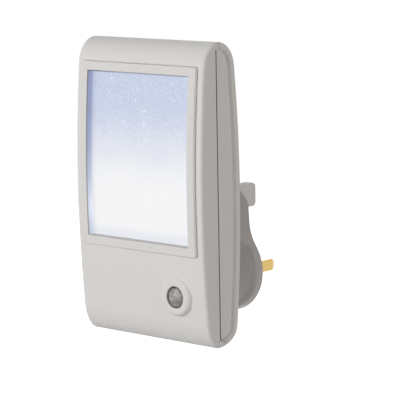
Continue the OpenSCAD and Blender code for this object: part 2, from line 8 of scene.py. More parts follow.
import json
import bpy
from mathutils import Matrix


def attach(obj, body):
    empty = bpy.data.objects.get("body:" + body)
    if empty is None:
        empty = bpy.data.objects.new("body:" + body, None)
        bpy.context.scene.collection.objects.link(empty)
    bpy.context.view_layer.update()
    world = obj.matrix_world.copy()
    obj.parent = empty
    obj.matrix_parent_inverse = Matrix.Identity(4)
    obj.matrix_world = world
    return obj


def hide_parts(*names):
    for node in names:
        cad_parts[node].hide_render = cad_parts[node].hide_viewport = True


bl_info = {
    "name": "Plug-in Night Light",
    "version": (1, 0, 0),
    "blender": (4, 5, 0),
    "location": "View3D > Sidebar > Night Light",
    "description": "Builds a plug-in night light around its packed frame",
    "category": "Add Mesh",
}

from math import atan2, cos, degrees, pi, radians, sin, sqrt
from types import SimpleNamespace

import bmesh
import bpy
from mathutils import Matrix, Vector, noise

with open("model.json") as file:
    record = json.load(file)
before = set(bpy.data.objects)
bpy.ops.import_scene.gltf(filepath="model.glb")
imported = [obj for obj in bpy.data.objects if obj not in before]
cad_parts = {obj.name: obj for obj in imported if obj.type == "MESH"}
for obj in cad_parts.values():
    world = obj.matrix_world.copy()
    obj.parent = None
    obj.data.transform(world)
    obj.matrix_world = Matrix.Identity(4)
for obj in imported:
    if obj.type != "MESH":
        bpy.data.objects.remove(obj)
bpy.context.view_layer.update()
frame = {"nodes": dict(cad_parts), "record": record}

MM = 0.001
SLOT_OF = {part["node"]: part["material_slot"] for part in frame["record"]["subparts"]}


# ---- Settings ----


def length(label, text, millimetres, low=0.0):
    """A size in millimetres as a property in metres."""
    return bpy.props.FloatProperty(
        name=label, description=text, default=millimetres * MM, min=low * MM,
        unit="LENGTH", subtype="DISTANCE", precision=5)


def lengths(label, text, *millimetres):
    """Two or three sizes in millimetres as one property in metres."""
    return bpy.props.FloatVectorProperty(
        name=label, description=text, default=[v * MM for v in millimetres],
        size=len(millimetres), unit="LENGTH", precision=5)


def tint(label, text, *colour):
    """A colour as it shows on a screen."""
    return bpy.props.FloatVectorProperty(
        name=label, description=text, default=colour, size=3, min=0, max=1,
        subtype="COLOR_GAMMA")


def plain(label, text, value):
    """A number without a unit."""
    return bpy.props.FloatProperty(name=label, description=text, default=value, min=0)


class CaseSettings(bpy.types.PropertyGroup):
    width: length("Width", "Across the two side rims", 56.2)
    height: length("Height", "From the lowest to the highest point", 98)
    front_depth: length("Front depth", "Depth of the front half at its crown", 9.7)
    rear_depth: length("Rear depth", "Depth of the rear half at its crown", 9.1)
    curve_radius: length("Long curve", "Radius of the front and back, seen from the side", 430)
    standoff: length("Seam standoff", "From the plug's face to the seam", 24.3)
    drop: length("Drop", "How far the case reaches below the plug's middle", 30.9)
    wall: length("Wall", "Thickness of the front and rear walls", 2)
    edge_radius: length("Edge radius", "Rounding of the long outer edges", 1)
    front_top: lengths("Front top end", "Rounding, depth by height", 6.6, 7.5)
    front_bottom: lengths("Front bottom end", "Rounding, depth by height", 4.9, 8.8)
    rear_top: lengths("Rear top end", "Rounding, depth by height", 6.3, 7.5)
    rear_bottom: lengths("Rear bottom end", "Rounding, depth by height", 8.2, 6)
    rim: length("Rim", "Width of the rim round a side panel", 2.2)
    rim_radius: length("Rim edge", "Rounding of the rim's inner edge", 0.3)
    panel_sink: length("Panel depth", "How far a side panel lies below its rim", 1.7)
    panel_wall: length("Panel wall", "Wall thickness behind a side panel", 1.4)
    panel_fillet: length("Panel fillet", "Hollow rounding at the foot of the rim", 0.45)
    seam_gap: length("Seam gap", "Space between the two halves", 0.42)
    seam_radius: length("Seam edge", "Rounding of the halves' edges at the seam", 0.12)
    colour: tint("Colour", "The moulded plastic", 0.848, 0.829, 0.81)
    panel_colour: tint("Panel colour", "The plastic in the sunk side panels", 0.795, 0.785, 0.77)
    # Painted shade: the seam's tongue is coloured darker to stand for the shade in the narrow gap.
    seam_shade_colour: tint("Seam colour", "The tongue inside the seam", 0.64, 0.54, 0.49)
    rim_gap: length("Rim gap", "Space between the two halves at the rims' ends", 0.07)


class WindowSettings(bpy.types.PropertyGroup):
    width: length("Width", "Width of the lit window", 44.8)
    height: length("Height", "Height of the lit window", 54.5)
    middle: length("Middle", "Height of the window's middle", 29.45)
    bar: length("Frame bar", "Width of the frame above and below the window", 2.95)
    side_bar: length("Frame side bar", "Width of the frame beside the window", 3.1)
    proud: length("Frame height", "How far the frame stands proud of the case", 1)
    corner: length("Frame corner", "Radius of the frame's corners", 1)
    outer_edge: length("Outer edge", "Rounding of the frame's outer edge", 0.3)
    inner_edge: length("Inner edge", "Rounding of the frame's inner edge", 0.3)
    groove: length("Groove", "Width of the shadow groove round the frame", 0.19)
    groove_depth: length("Groove depth", "Depth of the shadow groove round the frame", 0.5)
    pane: length("Pane", "Thickness of the pane's border", 1.5)
    pane_step: length("Pane step", "How far the pane's middle stands forward", 0.6)
    relief: length("Relief", "Depth of the pane's hammered face", 0.07)
    relief_size: length("Relief size", "Size of one hammered cell", 0.85)
    glow_high: tint("Upper glow", "Light in the upper part of the pane", 0.757, 0.792, 0.877)
    glow_low: tint("Lower glow", "Light in the lower part of the pane", 0.94, 0.94, 0.943)
    side_high: tint("Upper side glow", "Light on the frame's inner sides, at the top",
                    0.545, 0.585, 0.72)
    side_low: tint("Lower side glow", "Light on the frame's inner sides, at the bottom",
                   0.83, 0.86, 0.92)


class SensorSettings(bpy.types.PropertyGroup):
    x: length("Place across", "Distance to the right of the middle", 15.7)
    z: length("Height", "Height against the plug's middle", -14.5, -100)
    face: length("Ring height", "From the seam to the ring's face", 9.8)
    back: length("Ring back", "From the seam to the back of the ring's boss", 6)
    hole: length("Hole", "Diameter of the hole for the lens", 7.2)
    ring: length("Ring", "Diameter of the raised ring", 12.4)
    ring_radius: length("Ring edge", "Rounding of the ring's outer edge", 1.25)
    dome: length("Lens", "Diameter of the domed lens", 6.45)
    dome_rim: length("Lens rim", "How far the lens's rim lies behind the ring's face", 0.5)
    dome_rise: length("Lens rise", "How far the dome bulges beyond its rim", 1.05)
    colour: tint("Lens colour", "The smoked plastic", 0.555, 0.54, 0.525)


class PlugSettings(bpy.types.PropertyGroup):
    half_pitch: length("Half pin spacing", "Half the spacing of line and neutral", 11.1)
    rise: length("Earth rise", "Height of the earth pin above the others", 22.2)
    live: lengths("Line and neutral pins", "Width, height and length", 6.35, 4, 17.7)
    earth: lengths("Earth pin", "Width, height and length", 4, 8, 22.7)
    sleeve: length("Sleeve", "Length of the sleeves beyond the face", 9)
    lobe_radius: length("Lower corner", "Radius of the lower corners", 14.2)
    lobe_x: length("Corner place across", "Centre of a lower corner", 9.6)
    lobe_z: length("Corner height", "Centre of a lower corner", -10.2, -100)
    waist_radius: length("Waist", "Radius of the hollow between the lobes", 15)
    lean: bpy.props.FloatProperty(
        name="Lean", description="Lean of the upper lobe's sides", default=radians(4.3),
        subtype="ANGLE")
    flank_x: length("Side place across", "Point on the leaning side", 17.9)
    flank_z: length("Side height", "Point on the leaning side", 10.7)
    shoulder_radius: length("Shoulder", "Radius of the upper corners", 5.9)
    edge: length("Edge", "Thickness of the plug's edge behind the finger grips", 3)
    face_radius: length("Face edge", "Rounding of the edge at the wall", 0.4)
    grip: length("Grip depth", "Depth of the finger grip in each side", 1.4)
    grip_slope: length("Grip slope", "Width of the hollow slope round a finger grip", 1.8)
    grip_low: length("Grip bottom", "Lowest point of the finger grips", -22.8, -100)
    grip_high: length("Grip top", "Highest point of the finger grips", 1.1)
    grip_low_radius: length("Lower grip corner", "Radius, seen from the side", 6)
    grip_high_radius: length("Upper grip corner", "Radius, seen from the side", 3)
    wall: length("Wall", "Thickness of the wall at the finger grips", 1.8)
    base: length("Base", "Thickness of the plug's base", 3)
    # A greyer plastic than the case, and partly painted shade for the shade the plug lies in
    # behind the case.
    colour: tint("Colour", "The moulded plastic", 0.76, 0.742, 0.728)


class StudioSettings(bpy.types.PropertyGroup):
    floor_drop: length("Floor drop", "From the plug's middle down to the floor", 230)
    ambient: plain("Ambient", "Light from all round", 0.22)
    key: plain("Key", "Power of the large front light", 11.2)
    spark: plain("Spark", "Power of each of the two small front lights", 1.1)
    fill: plain("Fill", "Power of the weak side light", 4.85)
    back: plain("Back", "Power of the light from behind", 5.3)
    floor_glow: plain("Floor glow", "What lifts the floor to white for the camera", 0.9)


def in_mm(group):
    """A group's values, its lengths in millimetres."""
    values = {}
    for prop in group.bl_rna.properties:
        if prop.type != "FLOAT":
            continue
        value = getattr(group, prop.identifier)
        if prop.array_length:
            value = tuple(value)
            if prop.unit == "LENGTH":
                value = tuple(round(v / MM, 4) for v in value)
        elif prop.unit == "LENGTH":
            value = round(value / MM, 4)
        values[prop.identifier] = value
    return SimpleNamespace(**values)


# ---- Outlines ----

ARC_STEPS = 14
LONG_STEPS = 20
# Distances from the middle of the rings across the flat front, and from a panel's hollow
# rounding to the ring where the panel itself starts.
FLAT_STATIONS = (0, 9, 18, 24.6)
PANEL_START = 0.15
# Above 1, a finger grip's slope starts more gently.
GRIP_EASE = 1.3


def arc(cx, cy, r, start, end, steps):
    """Points along an arc, its angles in degrees."""
    turns = [radians(start + (end - start) * i / steps) for i in range(steps + 1)]
    return [(cx + r * cos(a), cy + r * sin(a)) for a in turns]


def case_middle(case):
    """Height of the case's middle."""
    return case.height / 2 - case.drop


def bow(case, depth, rise):
    """Depth of one half at a height above the case's middle, its ends still square."""
    return depth - rise ** 2 / (2 * case.curve_radius)


def end_cut(end, past):
    """What an end's rounding, depth by height, takes off at a distance past its start."""
    if past <= 0:
        return 0
    return end[0] * (1 - sqrt(max(0, 1 - (past / end[1]) ** 2)))


def front_y(case, z, inset=0):
    """Depth of the front face at a height, or of a face inset behind it."""
    return -case.standoff - bow(case, case.front_depth - inset, z - case_middle(case))


def rear_y(case, z):
    """Depth of the back at a height."""
    rise = z - case_middle(case)
    past = -rise - (case.height / 2 - case.rear_bottom[1])
    return -case.standoff + bow(case, case.rear_depth, rise) - end_cut(case.rear_bottom, past)


def half_profile(case, depth, top, bottom, inset):
    """Depth and height of one half of the case, from its highest to its lowest point."""
    half = case.height / 2
    top_d, top_h = (v - inset for v in top)
    low_d, low_h = (v - inset for v in bottom)
    up, down = half - top[1], half - bottom[1]
    turns = [pi / 2 * i / ARC_STEPS for i in range(ARC_STEPS + 1)]
    line = [(up + top_h * sin(a), top_d * (1 - cos(a))) for a in reversed(turns)]
    line += [(up - (up + down) * i / LONG_STEPS, 0) for i in range(1, LONG_STEPS)]
    line += [(-down - low_h * sin(a), low_d * (1 - cos(a))) for a in turns]
    return [(bow(case, depth - inset, z) - cut, z) for z, cut in line]


def case_ring(case, x, inset):
    """One ring round the case at a distance from its middle, moved in by inset."""
    front = half_profile(case, case.front_depth, case.front_top, case.front_bottom, inset)
    rear = half_profile(case, case.rear_depth, case.rear_top, case.rear_bottom, inset)
    sides = [(-d, z) for d, z in front] + [(d, z) for d, z in reversed(rear[1:-1])]
    return [(x, -case.standoff + y, case_middle(case) + z) for y, z in sides]


def panel_x(case):
    """Distance of a side panel from the middle."""
    return case.width / 2 - case.panel_sink


def room_half(case):
    """Half the width of the room between the side panels' walls."""
    return panel_x(case) - case.panel_wall


def case_stations(case):
    """Distance from the middle and inset of each ring, from the left panel to the right one."""
    half, floor = case.width / 2, panel_x(case)
    r, e, f = case.edge_radius, case.rim_radius, case.panel_fillet
    stations = [(x, 0) for x in FLAT_STATIONS]
    stations += [(half - r + dx, r - dy) for dx, dy in arc(0, 0, r, 90, 0, 7)]
    stations += arc(half - e, case.rim - e, e, 0, 90, 3)
    stations += [(floor + f - dx, case.rim + f - dy) for dx, dy in arc(0, 0, f, 90, 0, 5)]
    stations.append((floor, case.rim + f + PANEL_START))
    return [(-x, i) for x, i in reversed(stations[1:])] + stations


def window_ends(window):
    """Heights of the window's lower and upper edge."""
    return window.middle - window.height / 2, window.middle + window.height / 2


def half_pear(plug, inset):
    """Right half of the plug's outline from bottom to top, moved in by inset."""
    lean = plug.lean
    out, up = Vector((cos(lean), sin(lean))), Vector((-sin(lean), cos(lean)))
    lobe, flank = Vector((plug.lobe_x, plug.lobe_z)), Vector((plug.flank_x, plug.flank_z))
    shoulder_r, waist_r, lobe_r = plug.shoulder_radius, plug.waist_radius, plug.lobe_radius
    shoulder = flank - shoulder_r * out
    dome_r = shoulder_r + shoulder.x * sqrt(2)
    dome = shoulder - Vector((1, 1)) * ((dome_r - shoulder_r) / sqrt(2))
    q = flank + waist_r * out - lobe
    root = sqrt((q @ up) ** 2 - q @ q + (lobe_r + waist_r) ** 2)
    slide = min(-(q @ up) - root, -(q @ up) + root, key=abs)
    waist = lobe + q + slide * up
    meet = degrees(atan2(waist.y - lobe.y, waist.x - lobe.x))
    lean = degrees(lean)
    return (arc(*lobe, lobe_r - inset, -90, meet, 60)
            + arc(*waist, waist_r + inset, meet + 180, lean + 180, 20)
            + arc(*shoulder, shoulder_r - inset, lean, 45, 10)
            + arc(*dome, dome_r - inset, 45, 90, 10))


def pear(plug, inset):
    """The plug's whole outline, moved in by inset."""
    right = half_pear(plug, inset)
    return right + [(-x, z) for x, z in reversed(right[1:-1])]


def grip_press(plug, y, z):
    """How far a point of the plug's side lies in a finger grip, from 0 outside to 1."""
    past = -plug.edge - y
    depths = []
    for room, r in ((plug.grip_high - z, plug.grip_high_radius),
                    (z - plug.grip_low, plug.grip_low_radius)):
        corner = past < r and room < r
        depths.append(r - sqrt((r - past) ** 2 + (r - room) ** 2) if corner else min(past, room))
    share = min(1, max(0, min(depths) / plug.grip_slope))
    return sin(pi / 2 * share) ** GRIP_EASE


def round_rect(half_w, half_h, r, middle, steps=4, sides=1):
    """Rectangle with steps parts to a round corner and sides parts to an upright side."""
    points = []
    for sx, sz, start in ((1, -1, -90), (1, 1, 0), (-1, 1, 90), (-1, -1, 180)):
        points += arc(sx * (half_w - r), middle + sz * (half_h - r), r, start, start + 90, steps)
        if sx * sz < 0 and sides > 1:
            x, z = points[-1]
            rise = 2 * (half_h - r) * sx
            points += [(x, z + rise * i / sides) for i in range(1, sides)]
    return points


def at_depth(line, y):
    """A ring of (x, z) points at one depth."""
    return [(x, y, z) for x, z in line]


# ---- Mesh tools ----

# Points closer than this are one, and points as close as this to a plane lie in it.
MERGE, TOUCH = 1e-4, 1e-5
# Rings of the rounded edge at the seam, as shares of its radius.
SEAM_STEPS = (1, 0.6, 0.25, 0.05, 0)


def loft(bm, rings, closed=False):
    """Grows a skin through rings of equal length and caps it, or joins its ends."""
    start = bmesh.ops.create_circle(bm, segments=len(rings[0]), radius=1)["verts"]
    verts = list(start)
    for vert, point in zip(verts, rings[0]):
        vert.co = point
    edges = list(dict.fromkeys(e for v in verts for e in v.link_edges))
    for ring in rings[1:] + (rings[:1] if closed else []):
        grown = bmesh.ops.extrude_edge_only(bm, edges=edges)["geom"]
        fresh = {g for g in grown if isinstance(g, bmesh.types.BMVert)}
        edges = [g for g in grown if isinstance(g, bmesh.types.BMEdge)
                 and all(v in fresh for v in g.verts)]
        verts = [next(e.other_vert(v) for e in v.link_edges if e.other_vert(v) in fresh)
                 for v in verts]
        for vert, point in zip(verts, ring):
            vert.co = point
    if closed:
        bmesh.ops.remove_doubles(bm, verts=start + verts, dist=MERGE)
    else:
        bm.faces.new(start)
        bm.faces.new(verts)
    return bm


def face_outwards(bm):
    """Merges a closed body's doubled points and turns its faces outwards."""
    bmesh.ops.remove_doubles(bm, verts=bm.verts, dist=MERGE)
    bmesh.ops.recalc_face_normals(bm, faces=bm.faces)
    return bm


def skin(rings, closed=False):
    """New closed body with a skin through rings."""
    return face_outwards(loft(bmesh.new(), rings, closed))


def prism(line, y0, y1):
    """New closed body with an (x, z) outline between two depths."""
    return skin([at_depth(line, y0), at_depth(line, y1)])


def rods(bm, start, rows):
    """Adds cylinders along Y. rows lists (places, diameter, y0, y1, sides), each y past start."""
    for places, diameter, y0, y1, sides in rows:
        y0, y1 = start + y0, start + y1
        for x, z in places:
            middle = Matrix.Translation((x, (y0 + y1) / 2, z))
            bmesh.ops.create_cone(
                bm, cap_ends=True, segments=sides, radius1=diameter / 2, radius2=diameter / 2,
                depth=y1 - y0, matrix=middle @ Matrix.Rotation(pi / 2, 4, "X"))


def block(bm, low, high):
    """Adds a box from its lowest to its highest corner."""
    low, high = Vector(low), Vector(high)
    place = Matrix.Translation((low + high) / 2) @ Matrix.Diagonal((*(high - low), 1))
    bmesh.ops.create_cube(bm, size=1, matrix=place)


def spun(bm, profile, place, segments=48):
    """Adds a turned body about a Y axis, from (radius, y) points that start and end on it."""
    verts = [bm.verts.new((place[0] + r, y, place[1])) for r, y in profile]
    edges = [bm.edges.new(pair) for pair in zip(verts, verts[1:])]
    bmesh.ops.spin(
        bm, geom=verts + edges, cent=(place[0], 0, place[1]), axis=(0, 1, 0),
        angle=2 * pi, steps=segments, use_merge=True)
    return face_outwards(bm)


def in_scene(name, data):
    """Adds an object to the scene."""
    made = bpy.data.objects.new(name, data)
    bpy.context.scene.collection.objects.link(made)
    return made


def mesh_object(name, bm):
    """Turns a body into an object in the scene."""
    mesh = bpy.data.meshes.new(name)
    bm.to_mesh(mesh)
    bm.free()
    return in_scene(name, mesh)


def combine(body, way, tool):
    """Joins, cuts or clips one closed body with another, and gives the result."""
    pair = [mesh_object("work", bm) for bm in (body, tool)]
    step = pair[0].modifiers.new("Step", "BOOLEAN")
    step.operation = way
    step.solver = "EXACT"
    step.object = pair[1]
    done = pair[0].evaluated_get(bpy.context.evaluated_depsgraph_get())
    result = bmesh.new()
    result.from_mesh(done.to_mesh())
    done.to_mesh_clear()
    for obj in pair:
        mesh = obj.data
        bpy.data.objects.remove(obj)
        bpy.data.meshes.remove(mesh)
    if not result.faces:
        raise RuntimeError(f"the {way.lower()} step left nothing")
    bmesh.ops.remove_doubles(result, verts=result.verts, dist=MERGE)
    return result


def keep_half(bm, case, way):
    """Cuts a closed body at the seam, rounds the cut's edge and closes it."""
    seam = -case.standoff + way * case.seam_gap / 2
    r = case.seam_radius
    planes = [(r * t, r - sqrt(r * r - (r - r * t) ** 2)) for t in SEAM_STEPS]
    for distance, _ in planes:
        bmesh.ops.bisect_plane(
            bm, geom=bm.verts[:] + bm.edges[:] + bm.faces[:], dist=TOUCH,
            plane_co=(0, seam + way * distance, 0), plane_no=(0, -way, 0),
            clear_outer=distance == 0)
    bm.normal_update()
    for distance, pull in planes:
        for vert in bm.verts:
            if abs(vert.co.y - seam - way * distance) < 2 * TOUCH:
                side = Vector((vert.normal.x, 0, vert.normal.z)).normalized()
                vert.co -= side * pull
    bmesh.ops.edgeloop_fill(bm, edges=[e for e in bm.edges if e.is_boundary])
    bmesh.ops.recalc_face_normals(bm, faces=bm.faces)
    return bm


def show_piece(bm, name, node, *materials, sharp=33):
    """Makes a body a finished piece that stands for one of the frame's nodes."""
    bmesh.ops.scale(bm, vec=(MM, MM, MM), verts=bm.verts)
    piece = mesh_object(name, bm)
    piece.data.shade_smooth()
    piece.data.set_sharp_from_angle(angle=radians(sharp))
    for material in materials:
        piece.data.materials.append(material)
    even = piece.modifiers.new("Even shading", "WEIGHTED_NORMAL")
    even.keep_sharp = True
    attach(piece, "root")
    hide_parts(node)


# ---- Materials ----

WHITE = (1, 1, 1, 1)
COLOUR, NUMBER, DIRECTION = "NodeSocketColor", "NodeSocketFloat", "NodeSocketVector"


def linear(colour):
    """A screen colour as the linear colour that shaders take."""
    return [c / 12.92 if c <= 0.04045 else ((c + 0.055) / 1.055) ** 2.4 for c in colour] + [1]


def shade(colour, share):
    """A screen colour made darker or paler."""
    return [min(1, c * share) for c in colour]


def feed(tree, node, inputs):
    """Gives a node's inputs plain values or other nodes' outputs."""
    for key, value in inputs.items():
        if isinstance(value, bpy.types.NodeSocket):
            tree.links.new(value, node.inputs[key])
        else:
            node.inputs[key].default_value = value


def add(tree, kind, inputs=None, **attributes):
    """Adds a node and feeds its inputs."""
    made = tree.nodes.new(kind)
    for key, value in attributes.items():
        setattr(made, key, value)
    feed(tree, made, inputs or {})
    return made


def calc(tree, operation, a, b=0.0, c=None):
    """A number worked out from two or three others."""
    inputs = {0: a, 1: b} if c is None else {0: a, 1: b, 2: c}
    return add(tree, "ShaderNodeMath", inputs, operation=operation).outputs[0]


def times(tree, value, *others):
    """The product of several numbers."""
    for other in others:
        value = calc(tree, "MULTIPLY", value, other)
    return value


def swing(tree, pattern, amount, about):
    """A number that a pattern moves up and down about a middle value."""
    return calc(tree, "MULTIPLY_ADD", calc(tree, "SUBTRACT", pattern, 0.5), amount, about)


def blend(tree, factor, a, b, way="MIX"):
    """Mixes two colours."""
    return add(tree, "ShaderNodeMix", {0: factor, 6: a, 7: b}, data_type="RGBA",
               blend_type=way).outputs[2]


def grey(tree, value):
    """A grey of a brightness that nodes work out."""
    return add(tree, "ShaderNodeCombineColor", {0: value, 1: value, 2: value}).outputs[0]


def darken(tree, colour, value):
    """A colour times a number."""
    return blend(tree, 1.0, colour, grey(tree, value), "MULTIPLY")


def remap(tree, value, low, high, to_low=0.0, to_high=1.0, smooth=False):
    """Takes a number from one range to another and keeps it there."""
    made = add(tree, "ShaderNodeMapRange", {0: value, 1: low, 2: high, 3: to_low, 4: to_high})
    if smooth:
        made.interpolation_type = "SMOOTHSTEP"
    return made.outputs[0]


def stored(tree, name):
    """A number that the mesh carries at each of its points."""
    return add(tree, "ShaderNodeAttribute", attribute_name=name).outputs["Fac"]


def place_on_object(tree, scale=(1, 1, 1)):
    """Object coordinates, stretched by scale."""
    where = add(tree, "ShaderNodeTexCoord").outputs["Object"]
    return add(tree, "ShaderNodeMapping", {0: where, 3: scale}).outputs[0]


def along(tree, axis):
    """One object coordinate in millimetres: axis is X, Y or Z."""
    where = add(tree, "ShaderNodeTexCoord").outputs["Object"]
    parts = add(tree, "ShaderNodeSeparateXYZ", {0: where})
    return times(tree, parts.outputs[axis], 1 / MM)


def texture_noise(tree, where, scale, detail=2.0, roughness=0.5):
    """Cloudy pattern about 0.5, finer with a larger scale."""
    return add(tree, "ShaderNodeTexNoise", {
        "Vector": where, "Scale": scale, "Detail": detail, "Roughness": roughness}).outputs[0]


def texture_cells(tree, where, scale):
    """Distance from the middle of scattered cells."""
    cells = add(tree, "ShaderNodeTexVoronoi", {"Vector": where, "Scale": scale})
    return cells.outputs["Distance"]


def bump(tree, height, strength, depth):
    """Normals of a surface with a fine relief, its depth in metres."""
    return add(tree, "ShaderNodeBump", {
        "Strength": strength, "Distance": depth, "Height": height}).outputs[0]


def new_group(name, inputs, outputs):
    """Starts a shader node group and gives its tree, input node and output node."""
    tree = bpy.data.node_groups.new(name, "ShaderNodeTree")
    for label, kind, value in inputs:
        socket = tree.interface.new_socket(name=label, in_out="INPUT", socket_type=kind)
        socket.default_value = value
    for label, kind in outputs:
        tree.interface.new_socket(name=label, in_out="OUTPUT", socket_type=kind)
    return tree, add(tree, "NodeGroupInput"), add(tree, "NodeGroupOutput")


def surface_group(name, stretch):
    """Fine grain in the surface with a broad, faint change of colour."""
    if name in bpy.data.node_groups:
        return bpy.data.node_groups[name]
    tree, given, result = new_group(
        name,
        [("Colour", COLOUR, (0.8, 0.8, 0.8, 1)), ("Roughness", NUMBER, 0.5),
         ("Grain Scale", NUMBER, 3000.0), ("Grain Depth", NUMBER, 0.00001),
         ("Mottle", NUMBER, 0.05)],
        [("Colour", COLOUR), ("Roughness", NUMBER), ("Normal", DIRECTION)])
    where = place_on_object(tree, stretch)
    fine = texture_noise(tree, where, given.outputs["Grain Scale"], 3, 0.6)
    broad = texture_noise(tree, place_on_object(tree), 90, 2, 0.55)
    mottle = given.outputs["Mottle"]
    tone = calc(tree, "MULTIPLY_ADD", broad, mottle, calc(tree, "SUBTRACT", 1, mottle))
    feed(tree, result, {
        "Colour": darken(tree, given.outputs["Colour"], tone),
        "Roughness": swing(tree, fine, 0.14, given.outputs["Roughness"]),
        "Normal": bump(tree, fine, 0.5, given.outputs["Grain Depth"])})
    return tree


def span_group():
    """Mask that is 1 beyond a distance from a plane across one axis."""
    name = "Beyond A Span"
    if name in bpy.data.node_groups:
        return bpy.data.node_groups[name]
    tree, given, result = new_group(
        name, [("Value", NUMBER, 0.0), ("Centre", NUMBER, 0.0), ("Half", NUMBER, 1.0)],
        [("Mask", NUMBER)])
    away = calc(tree, "ABSOLUTE", calc(tree, "SUBTRACT", given.outputs[0], given.outputs[1]))
    feed(tree, result, {"Mask": calc(tree, "GREATER_THAN", away, given.outputs["Half"])})
    return tree


def beyond(tree, value, centre, half):
    """1 where a value is more than half away from a centre."""
    return add(tree, "ShaderNodeGroup", {0: value, 1: centre, 2: half},
               node_tree=span_group()).outputs[0]


MOULDED = ("Moulded Surface", (1, 1, 1))
DRAWN = ("Drawn Metal", (1, 0.06, 1))
# Grain scale, grain depth in millimetres and mottle; the case's roughness comes first.
CASE_GRAIN = (0.42, 3400, 0.010, 0.025)
METAL_GRAIN = (5000, 0.006, 0.12)
LEGGED_GRAIN = (2600, 0.01, 0.08)
TINNED = (0.80, 0.79, 0.76)
# Half the width of a resistor's colour band.
BAND_HALF = 0.28


def start_material(name):
    """A new material with its nodes and its shader."""
    material = bpy.data.materials.new(name)
    material.use_nodes = True
    return material, material.node_tree, material.node_tree.nodes["Principled BSDF"]


def use_surface(tree, shader, kind, colour, roughness, scale, depth, mottle):
    """Feeds a shader from a surface group."""
    if not isinstance(colour, bpy.types.NodeSocket):
        colour = linear(colour)
    group = add(tree, "ShaderNodeGroup", {
        "Colour": colour, "Roughness": roughness, "Grain Scale": scale,
        "Grain Depth": depth * MM, "Mottle": mottle}, node_tree=surface_group(*kind))
    feed(tree, shader, {"Base Color": group.outputs["Colour"],
                        "Roughness": group.outputs["Roughness"],
                        "Normal": group.outputs["Normal"]})


def moulded(name, colour, roughness=0.45, scale=3200, depth=0.012, mottle=0.04, kind=MOULDED,
            others=None):
    """Moulded plastic, or another kind of surface. others feeds more of the shader's sockets."""
    if name in bpy.data.materials:
        return bpy.data.materials[name]
    material, tree, shader = start_material(name)
    use_surface(tree, shader, kind, colour, roughness, scale, depth, mottle)
    feed(tree, shader, others or {})
    return material


def drawn_metal(name, colour, roughness=0.28):
    """Drawn or plated metal with fine lines along Y."""
    return moulded(name, colour, roughness, *METAL_GRAIN, DRAWN, {"Metallic": 1})


def legged(name, colour, axis, centre, half, bands=(), roughness=0.4):
    """A component's body with tinned legs. The body fills a span along one axis, given by its
    centre and half its length in millimetres. bands lists (place, colour) rings across X."""
    material, tree, shader = start_material(name)
    body, across = linear(colour), along(tree, "X")
    for place, ring in bands:
        body = blend(tree, beyond(tree, across, place, BAND_HALF), linear(ring), body)
    legs = beyond(tree, along(tree, axis), centre, half)
    use_surface(tree, shader, MOULDED, blend(tree, legs, body, linear(TINNED)), roughness,
                *LEGGED_GRAIN)
    feed(tree, shader, {"Metallic": legs})
    return material


def case_plastic(case):
    """Off-white plastic, darker in the side panels, with painted shade on the walls round them."""
    if "case_plastic" in bpy.data.materials:
        return bpy.data.materials["case_plastic"]
    material, tree, shader = start_material("case_plastic")
    sunk = stored(tree, "panel")
    # Painted shade: the walls round each panel are darker near the rim and lighten towards the
    # panel.
    panel = blend(tree, remap(tree, sunk, 0.15, 0.95), linear(shade(case.panel_colour, 0.84)),
                  linear(case.panel_colour))
    colour = blend(tree, remap(tree, sunk, 0.04, 0.14), linear(case.colour), panel)
    use_surface(tree, shader, MOULDED, colour, *CASE_GRAIN)
    return material


def plug_plastic(plug):
    """The plug's plastic, with painted shade in the finger grips and towards the upper end."""
    material, tree, shader = start_material("plug_plastic")
    # Painted shade: darker in the finger grips and towards the upper end, for the shade behind the
    # case.
    grip_and_top_shade = calc(tree, "MAXIMUM", stored(tree, "grip"),
               remap(tree, along(tree, "Z"), -4, 6, 0.0, 0.7))
    colour = blend(tree, grip_and_top_shade, linear(plug.colour), linear(shade(plug.colour, 0.89)))
    use_surface(tree, shader, MOULDED, colour, *CASE_GRAIN)
    return material


# The pane's prisms: their spacing in millimetres and how much they change its brightness.
PRISM_PITCH = 1.15
PRISM_SHADE = 0.085


